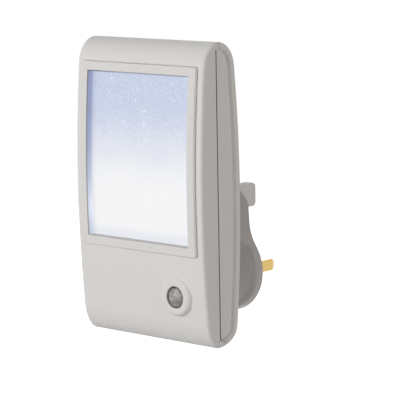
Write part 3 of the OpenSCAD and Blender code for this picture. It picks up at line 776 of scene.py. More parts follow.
def pane_material(window):
    """The lit pane: a speckled blue haze above and near white below."""
    material, tree, shader = start_material("lit_pane")
    low, high = window_ends(window)
    left = -window.width / 2
    where, across, height = place_on_object(tree), along(tree, "X"), along(tree, "Z")
    # The glow, blue above and white below, with a blue rest along the lower edge.
    drift = calc(tree, "MULTIPLY_ADD", texture_noise(tree, where, 110, 3), 7, -3.5)
    fade = remap(tree, calc(tree, "ADD", height, drift),
                 low + 0.27 * window.height, low + 0.86 * window.height, smooth=True)
    haze = remap(tree, height, low + 1.2, low + 4.5, 0.30, 0.0, smooth=True)
    glow = blend(tree, calc(tree, "MAXIMUM", fade, haze), linear(window.glow_low),
                 linear(window.glow_high))
    # Grain and prisms, which the white end drowns.
    grain = texture_noise(tree, where, 1300, 3, 0.65)
    waves = [calc(tree, "SINE", times(tree, line, 2 * pi / PRISM_PITCH))
             for line in (across, height)]
    speckle = swing(tree, grain, 0.5, calc(tree, "ADD", times(tree, *waves, PRISM_SHADE), 1))
    lit = blend(tree, 1.0, glow, blend(tree, fade, WHITE, grey(tree, speckle)), "MULTIPLY")
    # Sparkles here and there in the blue.
    spark = remap(tree, texture_cells(tree, where, 650), 0.1, 0.42, 1.0, 0.0)
    chance = remap(tree, texture_noise(tree, where, 260, 2), 0.58, 0.64)
    glint = times(tree, fade, 0.7, times(tree, spark, chance))
    lit = blend(tree, glint, lit, linear((0.93, 0.95, 1.0)))
    # The frame's shade on the left edge and the upper edge.
    lit = darken(tree, lit, remap(tree, across, left, left + 1.7, 0.88, 1.0))
    edge = remap(tree, height, high - 0.8, high - 0.35, 0.0, 0.9, smooth=True)
    shadow = blend(tree, remap(tree, across, -22, -8), linear((0.33, 0.34, 0.38)),
                   linear((0.55, 0.56, 0.62)))
    feed(tree, shader, {
        "Base Color": blend(tree, grain, (0.018, 0.02, 0.024, 1), (0.03, 0.032, 0.036, 1)),
        "Roughness": remap(tree, grain, 0.2, 0.8, 0.35, 0.5),
        "Specular IOR Level": 0.3,
        "Normal": bump(tree, grain, 0.35, 0.03 * MM),
        "Emission Color": blend(tree, edge, lit, shadow),
        "Emission Strength": 0.97})
    return material


def side_glow_material(window):
    """The frame's inner sides: a painted blue glow that stands for the pane's light, with painted
    shade along their front edge and at their ends.
    """
    material, tree, shader = start_material("lit_frame_side")
    low, high = window_ends(window)
    height, depth = along(tree, "Z"), stored(tree, "inset")
    fall = calc(tree, "POWER", remap(tree, height, low + 10, high - 7, 1.0, 0.0), 2.4)
    glow = blend(tree, fall, linear(window.side_high), linear(window.side_low))
    # Painted light and shade: brighter towards the pane, darker near the bottom, and darker still
    # just under the upper bar.
    glow = darken(tree, glow, times(
        tree, remap(tree, depth, -0.7, 1.5, 0.9, 1.22),
        remap(tree, height, low, low + 8, 0.76, 1.0),
        remap(tree, height, high - 0.8, high, 1.0, 0.35)))
    streak = texture_noise(tree, place_on_object(tree, (1, 1, 0.12)), 1600, 2)
    glow = darken(tree, glow, calc(tree, "MULTIPLY_ADD", streak, 0.16, 0.92))
    # Painted shade: a dark band along the front edge.
    edge = remap(tree, depth, -0.85, -0.4, 1.0, 0.0, smooth=True)
    feed(tree, shader, {
        "Base Color": blend(tree, edge, (0.05, 0.05, 0.055, 1), (0.25, 0.24, 0.23, 1)),
        "Roughness": 0.5,
        "Emission Color": blend(tree, edge, glow, (0.02, 0.02, 0.024, 1)),
        "Emission Strength": 0.93})
    return material


def lens_material(sensor):
    """Smoked, glossy lens with a cloudy body."""
    material, tree, shader = start_material("smoked_lens")
    where = place_on_object(tree)
    cloud = texture_noise(tree, where, 520, 3, 0.6)
    fleck = calc(tree, "SUBTRACT", 0.4, texture_cells(tree, where, 900))
    mix = calc(tree, "MULTIPLY_ADD", fleck, 0.5, remap(tree, cloud, 0.3, 0.7))
    feed(tree, shader, {
        "Base Color": blend(tree, mix, linear(shade(sensor.colour, 0.78)),
                            linear(shade(sensor.colour, 1.2))),
        "Roughness": remap(tree, cloud, 0.2, 0.8, 0.22, 0.36),
        "Normal": bump(tree, cloud, 0.4, 0.08 * MM),
        "Coat Weight": 0.6, "Coat Roughness": 0.08})
    return material


# ---- Pieces ----

# The screws' places across and up.
CASE_SCREWS = ((-21.2, -23.5), (21.2, -23.5), (-20.5, 61.7), (20.5, 61.7))
BOSS_SCREWS = ((-13.9, -18.4), (13.9, -18.4), (-13, 7), (13, 7))
BOARD_SCREWS = ((-14.5, 17), (14.5, 17))
CLAMP_SCREWS = ((-7.3, 0), (7.3, 0))
# Their posts and holes: places, diameter, both ends and sides. The ends are measured towards
# the wall, in the case from the seam and in the plug from the inner face of its base.
FRONT_POSTS = [(CASE_SCREWS, 5.4, -9, -0.1, 40)]
FRONT_HOLES = [(CASE_SCREWS, 2.6, -5, 1, 24)]
REAR_POSTS = [(CASE_SCREWS, 7.4, 0.3, 9, 40), (BOSS_SCREWS, 7, 5.2, 9, 40),
              (BOARD_SCREWS, 5, 3.5, 9, 40)]
REAR_HOLES = [(BOSS_SCREWS, 2.9, 4, 12, 24), (BOARD_SCREWS, 2, 2.5, 6.5, 20)]
PLUG_POSTS = [(BOSS_SCREWS, 5.6, -21, 0.5, 40)]
CLAMP_POSTS = [(CLAMP_SCREWS, 4.6, -2, 0.5, 40)]
PLUG_HOLES = [(BOSS_SCREWS, 2.6, -21, -6.6, 24), (CLAMP_SCREWS, 2, -3, 2.2, 20)]
# The case screws' seats behind the seam, their holes' and counterbores' radii, and the
# rounding of the counterbores' mouths.
SCREW_SEAT, SCREW_HOLE, COUNTERBORE, MOUTH_EDGE = 3.4, 1.45, 2.7, 0.45
# The rear's opening to the plug: half width, half height, corner and middle.
PLUG_OPENING = (9.5, 10, 2, -5)
# The front's opening is larger than the window by this much on each side.
WINDOW_ROOM = 1.1
# The tongue's reach outside the case's room at the sides and the ends, its reach into the
# room, and its outer and inner corners.
TONGUE_SIDE, TONGUE_END, TONGUE_IN, TONGUE_CORNERS = 0.6, 0.8, 0.25, (4.6, 3.8)
TONGUE_DEPTH, TONGUE_SLACK = 1.2, 0.1
# How far a cutter reaches past the case, from the seam.
PAST = 12


def case_body(case):
    """The whole case as one closed body, its side panels sunk."""
    return skin([case_ring(case, *station) for station in case_stations(case)])


def slab(case, half_width, inset):
    """Closed body with the case's side outline."""
    return skin([case_ring(case, x, inset) for x in (-half_width, half_width)])


def inside(line, y, z):
    """Whether a point lies within a closed (y, z) line."""
    within = False
    for (y0, z0), (y1, z1) in zip(line, line[1:] + line[:1]):
        if (z0 > z) != (z1 > z) and y < y0 + (y1 - y0) * (z - z0) / (z1 - z0):
            within = not within
    return within


def mark_panels(bm, case):
    """Stores how deep each vertex lies in a side panel, from 0 at the rim to 1 on the panel."""
    layer = bm.verts.layers.float.new("panel")
    line = [(y, z) for _, y, z in case_ring(case, 0, case.rim - case.rim_radius - 0.02)]
    for vert in bm.verts:
        x, y, z = vert.co
        if abs(x) > panel_x(case) - 0.01 and inside(line, y, z):
            vert[layer] = (case.width / 2 - abs(x)) / case.panel_sink


def case_room(case):
    """The hollow inside the case."""
    return slab(case, room_half(case), case.wall)


def seam_band(case, grow, y0, y1):
    """Tongue along the seam, or the groove that takes it when grown."""
    half_w, half_h = room_half(case), case.height / 2 - case.wall
    middle, (outer_r, inner_r) = case_middle(case), TONGUE_CORNERS
    outer = round_rect(half_w + TONGUE_SIDE + grow, half_h + TONGUE_END + grow, outer_r,
                       middle, 8)
    inner = round_rect(half_w - TONGUE_IN - grow, half_h - TONGUE_IN - grow, inner_r, middle, 8)
    rings = [at_depth(line, y)
             for line, y in ((outer, y0), (outer, y1), (inner, y1), (inner, y0))]
    return skin(rings, closed=True)


def rim_ends(case):
    """Thin ledges at the top and bottom that narrow the seam across the rims."""
    seam, half, rim = -case.standoff, case.height / 2, case.rim - case.rim_radius
    middle, reach = case_middle(case), case.width
    low, high = seam - case.seam_gap / 2 + case.rim_gap, seam + 1
    blocks = bmesh.new()
    for way in (-1, 1):
        z0, z1 = sorted((middle + way * (half - rim), middle + way * (half + 2)))
        block(blocks, (-reach, low, z0), (reach, high, z1))
    return combine(case_body(case), "INTERSECT", blocks)


def clipped_posts(case, rows):
    """Posts that end inside the shell's wall."""
    bm = bmesh.new()
    rods(bm, -case.standoff, rows)
    return combine(bm, "INTERSECT", slab(case, room_half(case) + 0.1, case.wall / 2))


def sensor_boss(case, sensor):
    """The raised ring round the sensor's hole, still solid."""
    face, back = -case.standoff - sensor.face, -case.standoff - sensor.back
    r, edge = sensor.ring / 2, sensor.ring_radius
    rounding = arc(r - edge, face + edge, edge, -90, 0, 8)
    return spun(bmesh.new(), [(0, face), *rounding, (r, back), (0, back)],
                (sensor.x, sensor.z), 72)


def sensor_hole(case, sensor):
    """Cutter for the sensor's hole, with a small lip at the ring's face."""
    face, hole, lip = -case.standoff - sensor.face, sensor.hole / 2, 0.13
    return spun(bmesh.new(), [
        (0, face - 1), (hole + lip + 1, face - 1), (hole + lip * 0.35, face + lip * 0.35),
        (hole, face + lip), (hole, face + 5), (0, face + 5)], (sensor.x, sensor.z), 72)


def build_front_shell(case, window, sensor):
    """Front half of the case, with the sensor's ring and the window's opening."""
    seam = -case.standoff
    bm = combine(keep_half(case_body(case), case, -1), "DIFFERENCE", case_room(case))
    bm = combine(bm, "UNION", clipped_posts(case, FRONT_POSTS))
    bm = combine(bm, "UNION", sensor_boss(case, sensor))
    cutter = sensor_hole(case, sensor)
    rods(cutter, seam, FRONT_HOLES)
    bm = combine(bm, "DIFFERENCE", cutter)
    opening = round_rect(window.width / 2 + WINDOW_ROOM, window.height / 2 + WINDOW_ROOM, 0.5,
                         window.middle)
    bm = combine(bm, "DIFFERENCE", prism(opening, seam - PAST, seam - 3))
    # The groove runs under the frame's outer edge.
    groove = [(0, -window.groove, -0.4), (0, -window.groove, window.groove_depth),
              (0, 0.6, window.groove_depth), (0, 0.6, -0.4)]
    bm = combine(bm, "DIFFERENCE", frame_body(case, window, groove))
    bm = combine(bm, "DIFFERENCE", seam_band(
        case, TONGUE_SLACK, seam - TONGUE_DEPTH - TONGUE_SLACK, seam + 1))
    mark_panels(bm, case)
    show_piece(bm, "front_case", "front_shell", case_plastic(case))


def build_rear_shell(case):
    """Rear half of the case, with the tongue along the seam."""
    seam = -case.standoff
    bm = combine(keep_half(case_body(case), case, 1), "UNION", rim_ends(case))
    bm = combine(bm, "DIFFERENCE", case_room(case))
    bm = combine(bm, "UNION", seam_band(case, 0, seam - TONGUE_DEPTH, seam + 1))
    bm = combine(bm, "UNION", clipped_posts(case, REAR_POSTS))
    cutter = prism(round_rect(*PLUG_OPENING), seam + 3, seam + PAST)
    seat, wide = seam + SCREW_SEAT, COUNTERBORE + 2 * MOUTH_EDGE
    for place in CASE_SCREWS:
        mouth = rear_y(case, place[1])
        spun(cutter, [
            (0, seam - 1), (SCREW_HOLE, seam - 1), (SCREW_HOLE, seat), (COUNTERBORE, seat),
            (COUNTERBORE, mouth - MOUTH_EDGE), (wide, mouth + MOUTH_EDGE),
            (wide, seam + PAST), (0, seam + PAST)], place)
    rods(cutter, seam, REAR_HOLES)
    bm = combine(bm, "DIFFERENCE", cutter)
    mark_panels(bm, case)
    # Faces of the tongue inside the gap take the darker seam colour, as painted shade.
    for face in bm.faces:
        x, y, _ = face.calc_center_median()
        if y < seam + case.seam_gap / 2 + 0.01 and abs(x) < panel_x(case):
            face.material_index = 1
    tongue = moulded("seam_plastic", case.seam_shade_colour, 0.6, 3400, 0.010, 0.05)
    show_piece(bm, "rear_case", "rear_shell", case_plastic(case), tongue)


def frame_body(case, window, steps):
    """Closed band round the window. steps lists (side, offset, inset): side 0 measures inwards
    from the frame's outline, side 1 outwards from the window's."""
    rings = []
    for side, offset, inset in steps:
        half_w, half_h = window.width / 2 + offset, window.height / 2 + offset
        corner = 0.2
        if side == 0:
            half_w = window.width / 2 + window.side_bar - offset
            half_h = window.height / 2 + window.bar - offset
            corner = max(window.corner - offset, 0.2)
        line = round_rect(half_w, half_h, corner, window.middle, 6, 24)
        rings.append([(x, front_y(case, z, inset), z) for x, z in line])
    return skin(rings, closed=True)


def build_window_frame(case, window):
    """Raised frame round the window, its inner sides with a painted glow and its sill with painted
    shade.
    """
    top, foot = -window.proud, window.groove_depth - 0.02
    ro, ri = window.outer_edge, window.inner_edge
    flange, back = 1, 0.04
    steps = [(0, 0.5, back), (0, 0.5, foot), (0, 0, foot)]
    steps += [(0, ro - dx, top + ro - dy) for dx, dy in arc(0, 0, ro, 0, 90, 6)]
    steps += [(1, ri - dx, top + ri - dy) for dx, dy in arc(0, 0, ri, 90, 0, 4)]
    steps += [(1, 0, top + 0.5), (1, 0, 0.6), (1, 0, case.wall), (1, flange, case.wall),
              (1, flange, back)]
    bm = frame_body(case, window, steps)
    depth = bm.verts.layers.float.new("inset")
    for vert in bm.verts:
        vert[depth] = vert.co.y - front_y(case, vert.co.z)
    bm.normal_update()
    for face in bm.faces:
        middle = face.calc_center_median()
        inner = (abs(middle.x) < window.width / 2 + window.inner_edge
                 and abs(middle.z - window.middle) < window.height / 2 + 0.1)
        # Index 2, the sill, is the lower bar's upward inner face and is coloured darker as painted
        # shade; index 1, the inner sides, carry a painted glow.
        if inner and face.normal.z > 0.8:
            face.material_index = 2
        elif inner and max(abs(face.normal.x), -face.normal.z) > 0.6:
            face.material_index = 1
    # Painted shade: the sill is coloured darker than the case.
    sill = moulded("sill_plastic", shade(case.colour, 0.9), 0.5, 3400, 0.01, 0.025)
    show_piece(bm, "window_surround", "window_frame", case_plastic(case),
               side_glow_material(window), sill)


def pane_spaces(half, lip, step):
    """Even places across the pane's field, with its border's, and half the field's size."""
    field = half - 0.1
    count = round(2 * field / step)
    line = [field * (2 * i / count - 1) for i in range(count + 1)]
    return [-half - lip, -field - 0.02, *line, field + 0.02, half + lip], field


def build_pane(case, window):
    """Pane with a hammered, raised middle; it follows the case's curve."""
    front, lip, step, ease = case.wall + 0.1, 1.8, 0.42, 0.8
    xs, field_w = pane_spaces(window.width / 2, lip, step)
    zs, field_h = pane_spaces(window.height / 2, lip, step)
    bm = bmesh.new()
    bmesh.ops.create_grid(bm, x_segments=len(xs) - 1, y_segments=len(zs) - 1, size=1)
    cell = 1 / window.relief_size
    for vert in bm.verts:
        x = xs[round((vert.co.x + 1) / 2 * (len(xs) - 1))]
        z = zs[round((vert.co.y + 1) / 2 * (len(zs) - 1))]
        edge = min(field_w - abs(x), field_h - abs(z))
        lift = 0
        if edge > -0.01:
            dents = 0.5 + 0.5 * noise.noise(Vector((x * cell, z * cell, 3.7)))
            lift = window.relief * dents * min(1, edge / ease) - window.pane_step
        z += window.middle
        vert.co = (x, front_y(case, z, front) + lift, z)
    grown = bmesh.ops.extrude_face_region(bm, geom=bm.faces[:])["geom"]
    for vert in grown:
        if isinstance(vert, bmesh.types.BMVert):
            vert.co.y = front_y(case, vert.co.z, front + window.pane)
    bmesh.ops.recalc_face_normals(bm, faces=bm.faces)
    show_piece(bm, "window_pane", "diffuser", pane_material(window), sharp=50)


def build_lens(case, sensor):
    """Domed lens on a tube with a flange behind the ring's boss."""
    face, back = -case.standoff - sensor.face, -case.standoff - sensor.back
    r, rim, rise = sensor.dome / 2, face + sensor.dome_rim, sensor.dome_rise
    cap_r = (r * r + rise * rise) / (2 * rise)
    # The cap stops just short of the rim, so that the edge rounds over.
    reach = degrees(atan2(r, cap_r - rise)) * 0.94
    dome = [(x, rim - rise + cap_r - y) for x, y in arc(0, 0, cap_r, 90, 90 - reach, 12)]
    flange, thick, edge = 4.5, 1, 0.15
    profile = dome + [
        (r - 0.03, (dome[-1][1] + rim) / 2 + 0.1), (r, rim + 0.3), (r, back - edge),
        (r + edge, back), (flange - edge, back), (flange, back + edge),
        (flange, back + thick - edge), (flange - edge, back + thick), (0, back + thick)]
    bm = spun(bmesh.new(), profile, (sensor.x, sensor.z), 64)
    show_piece(bm, "sensor_dome", "sensor_lens", lens_material(sensor), sharp=40)


def plug_places(plug):
    """Places of the earth, line and neutral pins."""
    x, z = plug.half_pitch, plug.rise / 2
    return (0, z), (x, -z), (-x, -z)


# Distances of the plug's rings from its face, its bite into the case's back, and the pins'
# slack in its base.
PLUG_STEPS = (1.6, 2.5, 2.9, 3.1, 3.35, 3.7, 4.1, 4.6, 5.1, 5.7, 6.4, 7.4, 8.8, 10.6, 12.6)
PLUG_BITE = 0.05
PIN_SLACK = 0.12


def build_plug(case, plug):
    """Housing between the case and the socket, with a finger grip in each side."""
    def case_back(z):
        return rear_y(case, z) - PLUG_BITE

    def ring(inset, y=None):
        return [(x, case_back(z) if y is None else y, z) for x, z in pear(plug, inset)]

    def side_ring(y=None):
        points = []
        for (x, z), (deep_x, deep_z) in zip(pear(plug, 0), pear(plug, plug.grip)):
            press = grip_press(plug, rear_y(case, z) if y is None else y, z)
            x, z = x + press * (deep_x - x), z + press * (deep_z - z)
            points.append((x, case_back(z) if y is None else y, z))
        return points

    rw, floor = plug.face_radius, -plug.base
    inner, middle = plug.grip + plug.wall, plug.grip + plug.wall / 2
    rings = [ring(rw - dx, -rw + dy) for dx, dy in arc(0, 0, rw, 90, 0, 4)]
    rings += [side_ring(-y) for y in PLUG_STEPS]
    rings += [side_ring(), ring(inner), ring(inner, floor)]
    bm = skin(rings)
    posts = bmesh.new()
    rods(posts, floor, PLUG_POSTS)
    posts = combine(posts, "INTERSECT", skin([ring(middle), ring(middle, floor + 1)]))
    rods(posts, floor, CLAMP_POSTS)
    bm = combine(bm, "UNION", posts)
    cutter = bmesh.new()
    for (x, z), (w, h, _) in zip(plug_places(plug), (plug.earth, plug.live, plug.live)):
        w, h = w + PIN_SLACK, h + PIN_SLACK
        block(cutter, (x - w / 2, floor - 1, z - h / 2), (x + w / 2, 1, z + h / 2))
    rods(cutter, floor, PLUG_HOLES)
    bm = combine(bm, "DIFFERENCE", cutter)
    layer = bm.verts.layers.float.new("grip")
    for vert in bm.verts:
        vert[layer] = grip_press(plug, vert.co.y, vert.co.z)
    show_piece(bm, "plug_housing", "plug_boss", plug_plastic(plug))


# Widths and heights of the pins' heads, and of a live pin's core and its tail for the lead.
EARTH_HEAD, LIVE_HEAD, CORE, TAIL = (6.5, 9.4), (8, 5.5), (5.2, 2.9), (4, 1)
# How far head and tail reach behind the base, and how much a pin narrows to its tip.
PIN_HEAD, PIN_TAIL, PIN_TIP = 2, 7, 1.0


def pin_rings(place, size, stops, corner=0.3):
    """Rings of a pin: stops lists (y, inset)."""
    rings = []
    for y, inset in stops:
        w, h = (v / 2 - inset for v in size[:2])
        line = round_rect(w, h, max(corner - inset * 0.15, 0.15), 0, 3)
        rings.append([(place[0] + x, y, place[1] + z) for x, z in line])
    return rings


def pin_shank(bm, place, size, *start):
    """Adds a pin from its starting stops to its narrowed tip."""
    reach = size[2]
    loft(bm, pin_rings(place, size, [
        *start, (reach - 2 * PIN_TIP - 0.2, 0), (reach - 2 * PIN_TIP + 0.1, 0.05),
        (reach - 0.25, PIN_TIP - 0.12), (reach, PIN_TIP + 0.15)]))


def pin_head(bm, place, size, base):
    """Adds the head that holds a pin behind the plug's base."""
    back = -base - PIN_HEAD
    loft(bm, pin_rings(place, size, [(back, 0.15), (back + 0.15, 0), (-base - 0.15, 0),
                                     (-base, 0.15)]))


def build_pins(case, plug):
    """The three pins, and the sleeves of line and neutral."""
    earth, line, neutral = plug_places(plug)
    base, end = plug.base, plug.sleeve
    bm = bmesh.new()
    pin_shank(bm, earth, plug.earth, (-base, 0))
    pin_head(bm, earth, EARTH_HEAD, base)
    show_piece(face_outwards(bm), "earth_pin_shank", "earth_pin", case_plastic(case))
    brass = drawn_metal("pin_brass", (0.86, 0.74, 0.46))
    black = moulded("sleeve_black", (0.09, 0.09, 0.095), 0.42, 3600, 0.01, 0.1)
    for name, place in (("line", line), ("neutral", neutral)):
        bm = bmesh.new()
        pin_shank(bm, place, plug.live, (end, 0.2), (end + 0.15, 0))
        loft(bm, pin_rings(place, CORE, [(-base, 0), (end + 0.1, 0)], 0.2))
        pin_head(bm, place, LIVE_HEAD, base)
        loft(bm, pin_rings(place, TAIL, [(-base - PIN_TAIL, 0.1), (-base - PIN_TAIL + 0.2, 0),
                                         (-base - PIN_HEAD, 0)], 0.2))
        show_piece(face_outwards(bm), name + "_blade", name + "_pin", brass)
        rings = pin_rings(place, plug.live, [(-base, 0), (end - 0.15, 0), (end, 0.12)])
        rings += pin_rings(place, CORE, [(end, 0), (-base, 0)], 0.2)
        show_piece(skin(rings, closed=True), name + "_sleeve", name + "_pin_sleeve", black)


def zinc_steel():
    """The finish of all the screws."""
    return drawn_metal("zinc_steel", (0.74, 0.74, 0.75), 0.32)


def build_case_screws(case):
    """Four pan-head screws with a cross recess."""
    seat = -case.standoff + SCREW_SEAT
    head, shaft, long, turns, pitch = 2.5, 1.28, 7.4, 6, 1.05
    thread = [(0, seat - long), (0.35, seat - long + 0.1)]
    for i in range(turns):
        y = seat - long + 0.7 + i * pitch
        thread += [(shaft * 0.8, y - 0.25), (shaft, y), (shaft * 0.8, y + 0.25)]
    thread += [(1.2, seat - 0.5), (1.25, seat), (head - 0.1, seat), (head, seat + 0.12)]
    crown = [(head - 0.75 + dx * 0.75, seat + 0.62 + dy * 0.98)
             for dx, dy in arc(0, 0, 1, 0, 80, 6)]
    bm = bmesh.new()
    for place in CASE_SCREWS:
        spun(bm, thread + crown + [(0, seat + 1.6)], place, 36)
    # The recess is cut as two crossing slots, turned differently in each screw.
    slot = Matrix.Diagonal((2.6, 1.4, 0.62, 1))
    for turn in (0.4, 0.4 + pi / 2):
        slots = bmesh.new()
        for x, z in CASE_SCREWS:
            spot = Matrix.Translation((x, seat + 1.2, z))
            spot = spot @ Matrix.Rotation(turn + 0.7 * x, 4, "Y")
            bmesh.ops.create_cube(slots, size=1, matrix=spot @ slot)
        bm = combine(bm, "DIFFERENCE", slots)
    show_piece(bm, "case_screw_set", "case_screws", zinc_steel())


# ---- Parts inside the case ----

TAN, BROWN, GOLD = (0.82, 0.72, 0.56), (0.30, 0.16, 0.09), (0.75, 0.60, 0.25)
RED, BLACK, VIOLET = (0.70, 0.12, 0.10), (0.07, 0.07, 0.07), (0.40, 0.22, 0.48)
YELLOW, SILVER, TRACK = (0.85, 0.75, 0.15), (0.75, 0.78, 0.82), (0.55, 0.25, 0.12)

# By node: material, colour, the span that its body fills, colour bands and roughness.
LEGGED_PARTS = {
    "surge_resistor": ("surge_resistor_body", (0.36, 0.47, 0.64), "X", -1, 4.75,
                       [(-4, BROWN), (-2.7, BLACK), (-1.4, BROWN), (1.6, GOLD)], 0.55),
    "bleed_resistor": ("bleed_resistor_body", TAN, "X", 0, 3.1,
                       [(-2.1, BROWN), (-1.1, BLACK), (-0.1, YELLOW), (1.8, GOLD)]),
    "signal_resistors": ("signal_resistor_body", TAN, "X", 2.5, 1.7,
                         [(1.4, YELLOW), (2.1, VIOLET), (2.8, RED), (3.7, GOLD)]),
    "zener_diode": ("diode_body", (0.76, 0.34, 0.18), "X", 0, 1.9, [(1.2, BLACK)], 0.15),
    "dropper_capacitor": ("film_capacitor_body", (0.87, 0.73, 0.18), "Y", -15.4, 5.2, (), 0.3),
    "bridge_rectifier": ("rectifier_body", (0.11, 0.11, 0.115), "Y", -24.2, 1.52, (), 0.5),
    "switching_transistor": ("transistor_body", (0.10, 0.10, 0.10), "Y", -26.2, 2.22, (), 0.5),
    "smoothing_capacitor": ("capacitor_sleeve", (0.16, 0.18, 0.26), "Y", -26, 3.32,
                            [(-12.4, SILVER)], 0.3),
    "photocell": ("photocell_body", (0.83, 0.64, 0.42), "Y", -28.15, 1.0,
                  [(14.6, TRACK), (15.8, TRACK), (17, TRACK)], 0.2),
}
# By slot: material, colour, and where they aren't the usual ones, roughness, grain and mottle.
PLAIN_PARTS = {
    "guide_plastic": ("clear_guide", (0.86, 0.91, 0.96), 0.08, 900, 0.004, 0.03, MOULDED,
                      {"Transmission Weight": 0.9}),
    "reflector_plastic": ("white_reflector", (0.95, 0.95, 0.94), 0.5),
    "lamp_board": ("white_solder_resist", (0.91, 0.91, 0.89), 0.3, 2000, 0.01, 0.05),
    "lamp": ("lamp_resin", (0.97, 0.91, 0.62), 0.15, 1500, 0.004, 0.08),
    "wire_red": ("wire_red", (0.74, 0.12, 0.10), 0.4),
    "wire_black": ("wire_black", (0.10, 0.10, 0.11), 0.4),
    "wire_brown": ("wire_brown", (0.42, 0.24, 0.12), 0.4),
    "wire_blue": ("wire_blue", (0.16, 0.31, 0.66), 0.4),
    "black_plastic": ("satin_black", (0.08, 0.08, 0.085), 0.5),
    "board": ("green_solder_resist", (0.13, 0.37, 0.22), 0.3, 1400, 0.02, 0.25),
    "clamp_plastic": ("clamp_plastic", (0.88, 0.87, 0.84), 0.5),
}


def dress_inner_parts():
    """Gives each of the frame's visible nodes its finish."""
    by_node = {name: legged(*look) for name, look in LEGGED_PARTS.items()}
    by_slot = {slot: moulded(*look) for slot, look in PLAIN_PARTS.items()}
    by_slot["steel"] = zinc_steel()
    for name, node in frame["nodes"].items():
        if node.hide_render:
            continue
        node.data.materials.clear()
        node.data.materials.append(by_node.get(name) or by_slot[SLOT_OF[name]])


# ---- Studio ----

# Places in metres and angles in degrees.
CAMERA_PLACE = (0.482489, -0.527117, 0.118777)
CAMERA_YAW, CAMERA_PITCH, CAMERA_ROLL = radians(42.7044), radians(8.533), radians(-1.0072)
CAMERA_LENS = 194.31
LIGHT_AIM = Vector((0, -0.02, 0.02))
LIGHT_DISTANCE = 1.5
FLOOR_HALF = 12


def unclipped_rays(tree):
    """1 for rays that show the background: from the camera, a gloss or through glass."""
    path = add(tree, "ShaderNodeLightPath")
    seen = calc(tree, "MAXIMUM", path.outputs["Is Camera Ray"], path.outputs["Is Glossy Ray"])
    return calc(tree, "MAXIMUM", seen, path.outputs["Is Transmission Ray"])


def build_floor(studio):
    """Pale floor that shows white and still takes a shadow."""
    bm = bmesh.new()
    bmesh.ops.create_grid(bm, x_segments=8, y_segments=8, size=FLOOR_HALF)
    bmesh.ops.translate(bm, verts=bm.verts, vec=(0, 0, -studio.floor_drop * MM))
    floor = mesh_object("studio_floor", bm)
    material, tree, shader = start_material("pale_floor")
    mottle = texture_noise(tree, place_on_object(tree), 4, 2)
    feed(tree, shader, {
        "Base Color": blend(tree, mottle, (0.54, 0.54, 0.54, 1), (0.56, 0.56, 0.56, 1)),
        "Roughness": 0.9, "Specular IOR Level": 0, "Emission Color": WHITE,
        "Emission Strength": times(tree, unclipped_rays(tree), studio.floor_glow)})
    floor.data.materials.append(material)


def build_world(studio):
    """Weak light from all round, and a white background."""
    world = bpy.data.worlds.new("studio_world")
    world.use_nodes = True
    tree = world.node_tree
    tree.nodes.clear()
    soft = add(tree, "ShaderNodeBackground", {0: (1, 0.995, 0.985, 1), 1: studio.ambient})
    white = add(tree, "ShaderNodeBackground", {0: WHITE, 1: 1.0})
    mix = add(tree, "ShaderNodeMixShader", {0: unclipped_rays(tree), 1: soft.outputs[0],
                                            2: white.outputs[0]})
    add(tree, "ShaderNodeOutputWorld", {0: mix.outputs[0]})
    bpy.context.scene.world = world


def soft_light(name, azimuth, rise, size, power, colour=(1, 1, 1)):
    """A square light: azimuth turns from the front to the right, in degrees."""
    a, r = radians(azimuth), radians(rise)
    ahead = Vector((sin(a) * cos(r), -cos(a) * cos(r), sin(r)))
    lamp = bpy.data.lights.new(name, "AREA")
    lamp.size = size
    lamp.energy = power
    lamp.color = colour
    stand = in_scene(name, lamp)
    stand.location = LIGHT_AIM + LIGHT_DISTANCE * ahead
    stand.rotation_euler = (-ahead).to_track_quat("-Z", "Y").to_euler()


def build_camera():
    """Camera of the main view."""
    y, p, r = CAMERA_YAW, CAMERA_PITCH, CAMERA_ROLL
    ahead = Vector((-sin(y) * cos(p), cos(y) * cos(p), -sin(p)))
    right = Vector((cos(y), sin(y), 0))
    up = right.cross(ahead)
    across, above = cos(r) * right + sin(r) * up, cos(r) * up - sin(r) * right
    turn = Matrix((across, above, -ahead)).transposed().to_4x4()
    lens = bpy.data.cameras.new("product_camera")
    lens.lens = CAMERA_LENS
    lens.sensor_width = 36
    lens.clip_start = 0.01
    camera = in_scene("product_camera", lens)
    camera.matrix_world = Matrix.Translation(CAMERA_PLACE) @ turn
    bpy.context.scene.camera = camera


# ---- Operators ----


def settings(*names):
    """The groups of settings of those names, with lengths in millimetres."""
    return [in_mm(getattr(bpy.context.scene, "night_" + name)) for name in names]


class NIGHT_OT_case(bpy.types.Operator):
    """Build the front and rear halves of the case"""
    bl_idname = "night.case"
    bl_label = "Case"
    bl_options = {"REGISTER", "UNDO"}

    def execute(self, context):
        case, window, sensor = settings("case", "window", "sensor")
        build_front_shell(case, window, sensor)
        build_rear_shell(case)
        return {"FINISHED"}


class NIGHT_OT_window(bpy.types.Operator):
    """Build the window's frame and its lit pane"""
    bl_idname = "night.window"
    bl_label = "Window"
    bl_options = {"REGISTER", "UNDO"}

    def execute(self, context):
        case, window = settings("case", "window")
        build_window_frame(case, window)
        build_pane(case, window)
        return {"FINISHED"}


class NIGHT_OT_sensor(bpy.types.Operator):
    """Build the light sensor's lens"""
    bl_idname = "night.sensor"
    bl_label = "Sensor lens"
    bl_options = {"REGISTER", "UNDO"}

    def execute(self, context):
        build_lens(*settings("case", "sensor"))
        return {"FINISHED"}


class NIGHT_OT_plug(bpy.types.Operator):
    """Build the plug's housing"""
    bl_idname = "night.plug"
    bl_label = "Plug housing"
    bl_options = {"REGISTER", "UNDO"}

    def execute(self, context):
        build_plug(*settings("case", "plug"))
        return {"FINISHED"}


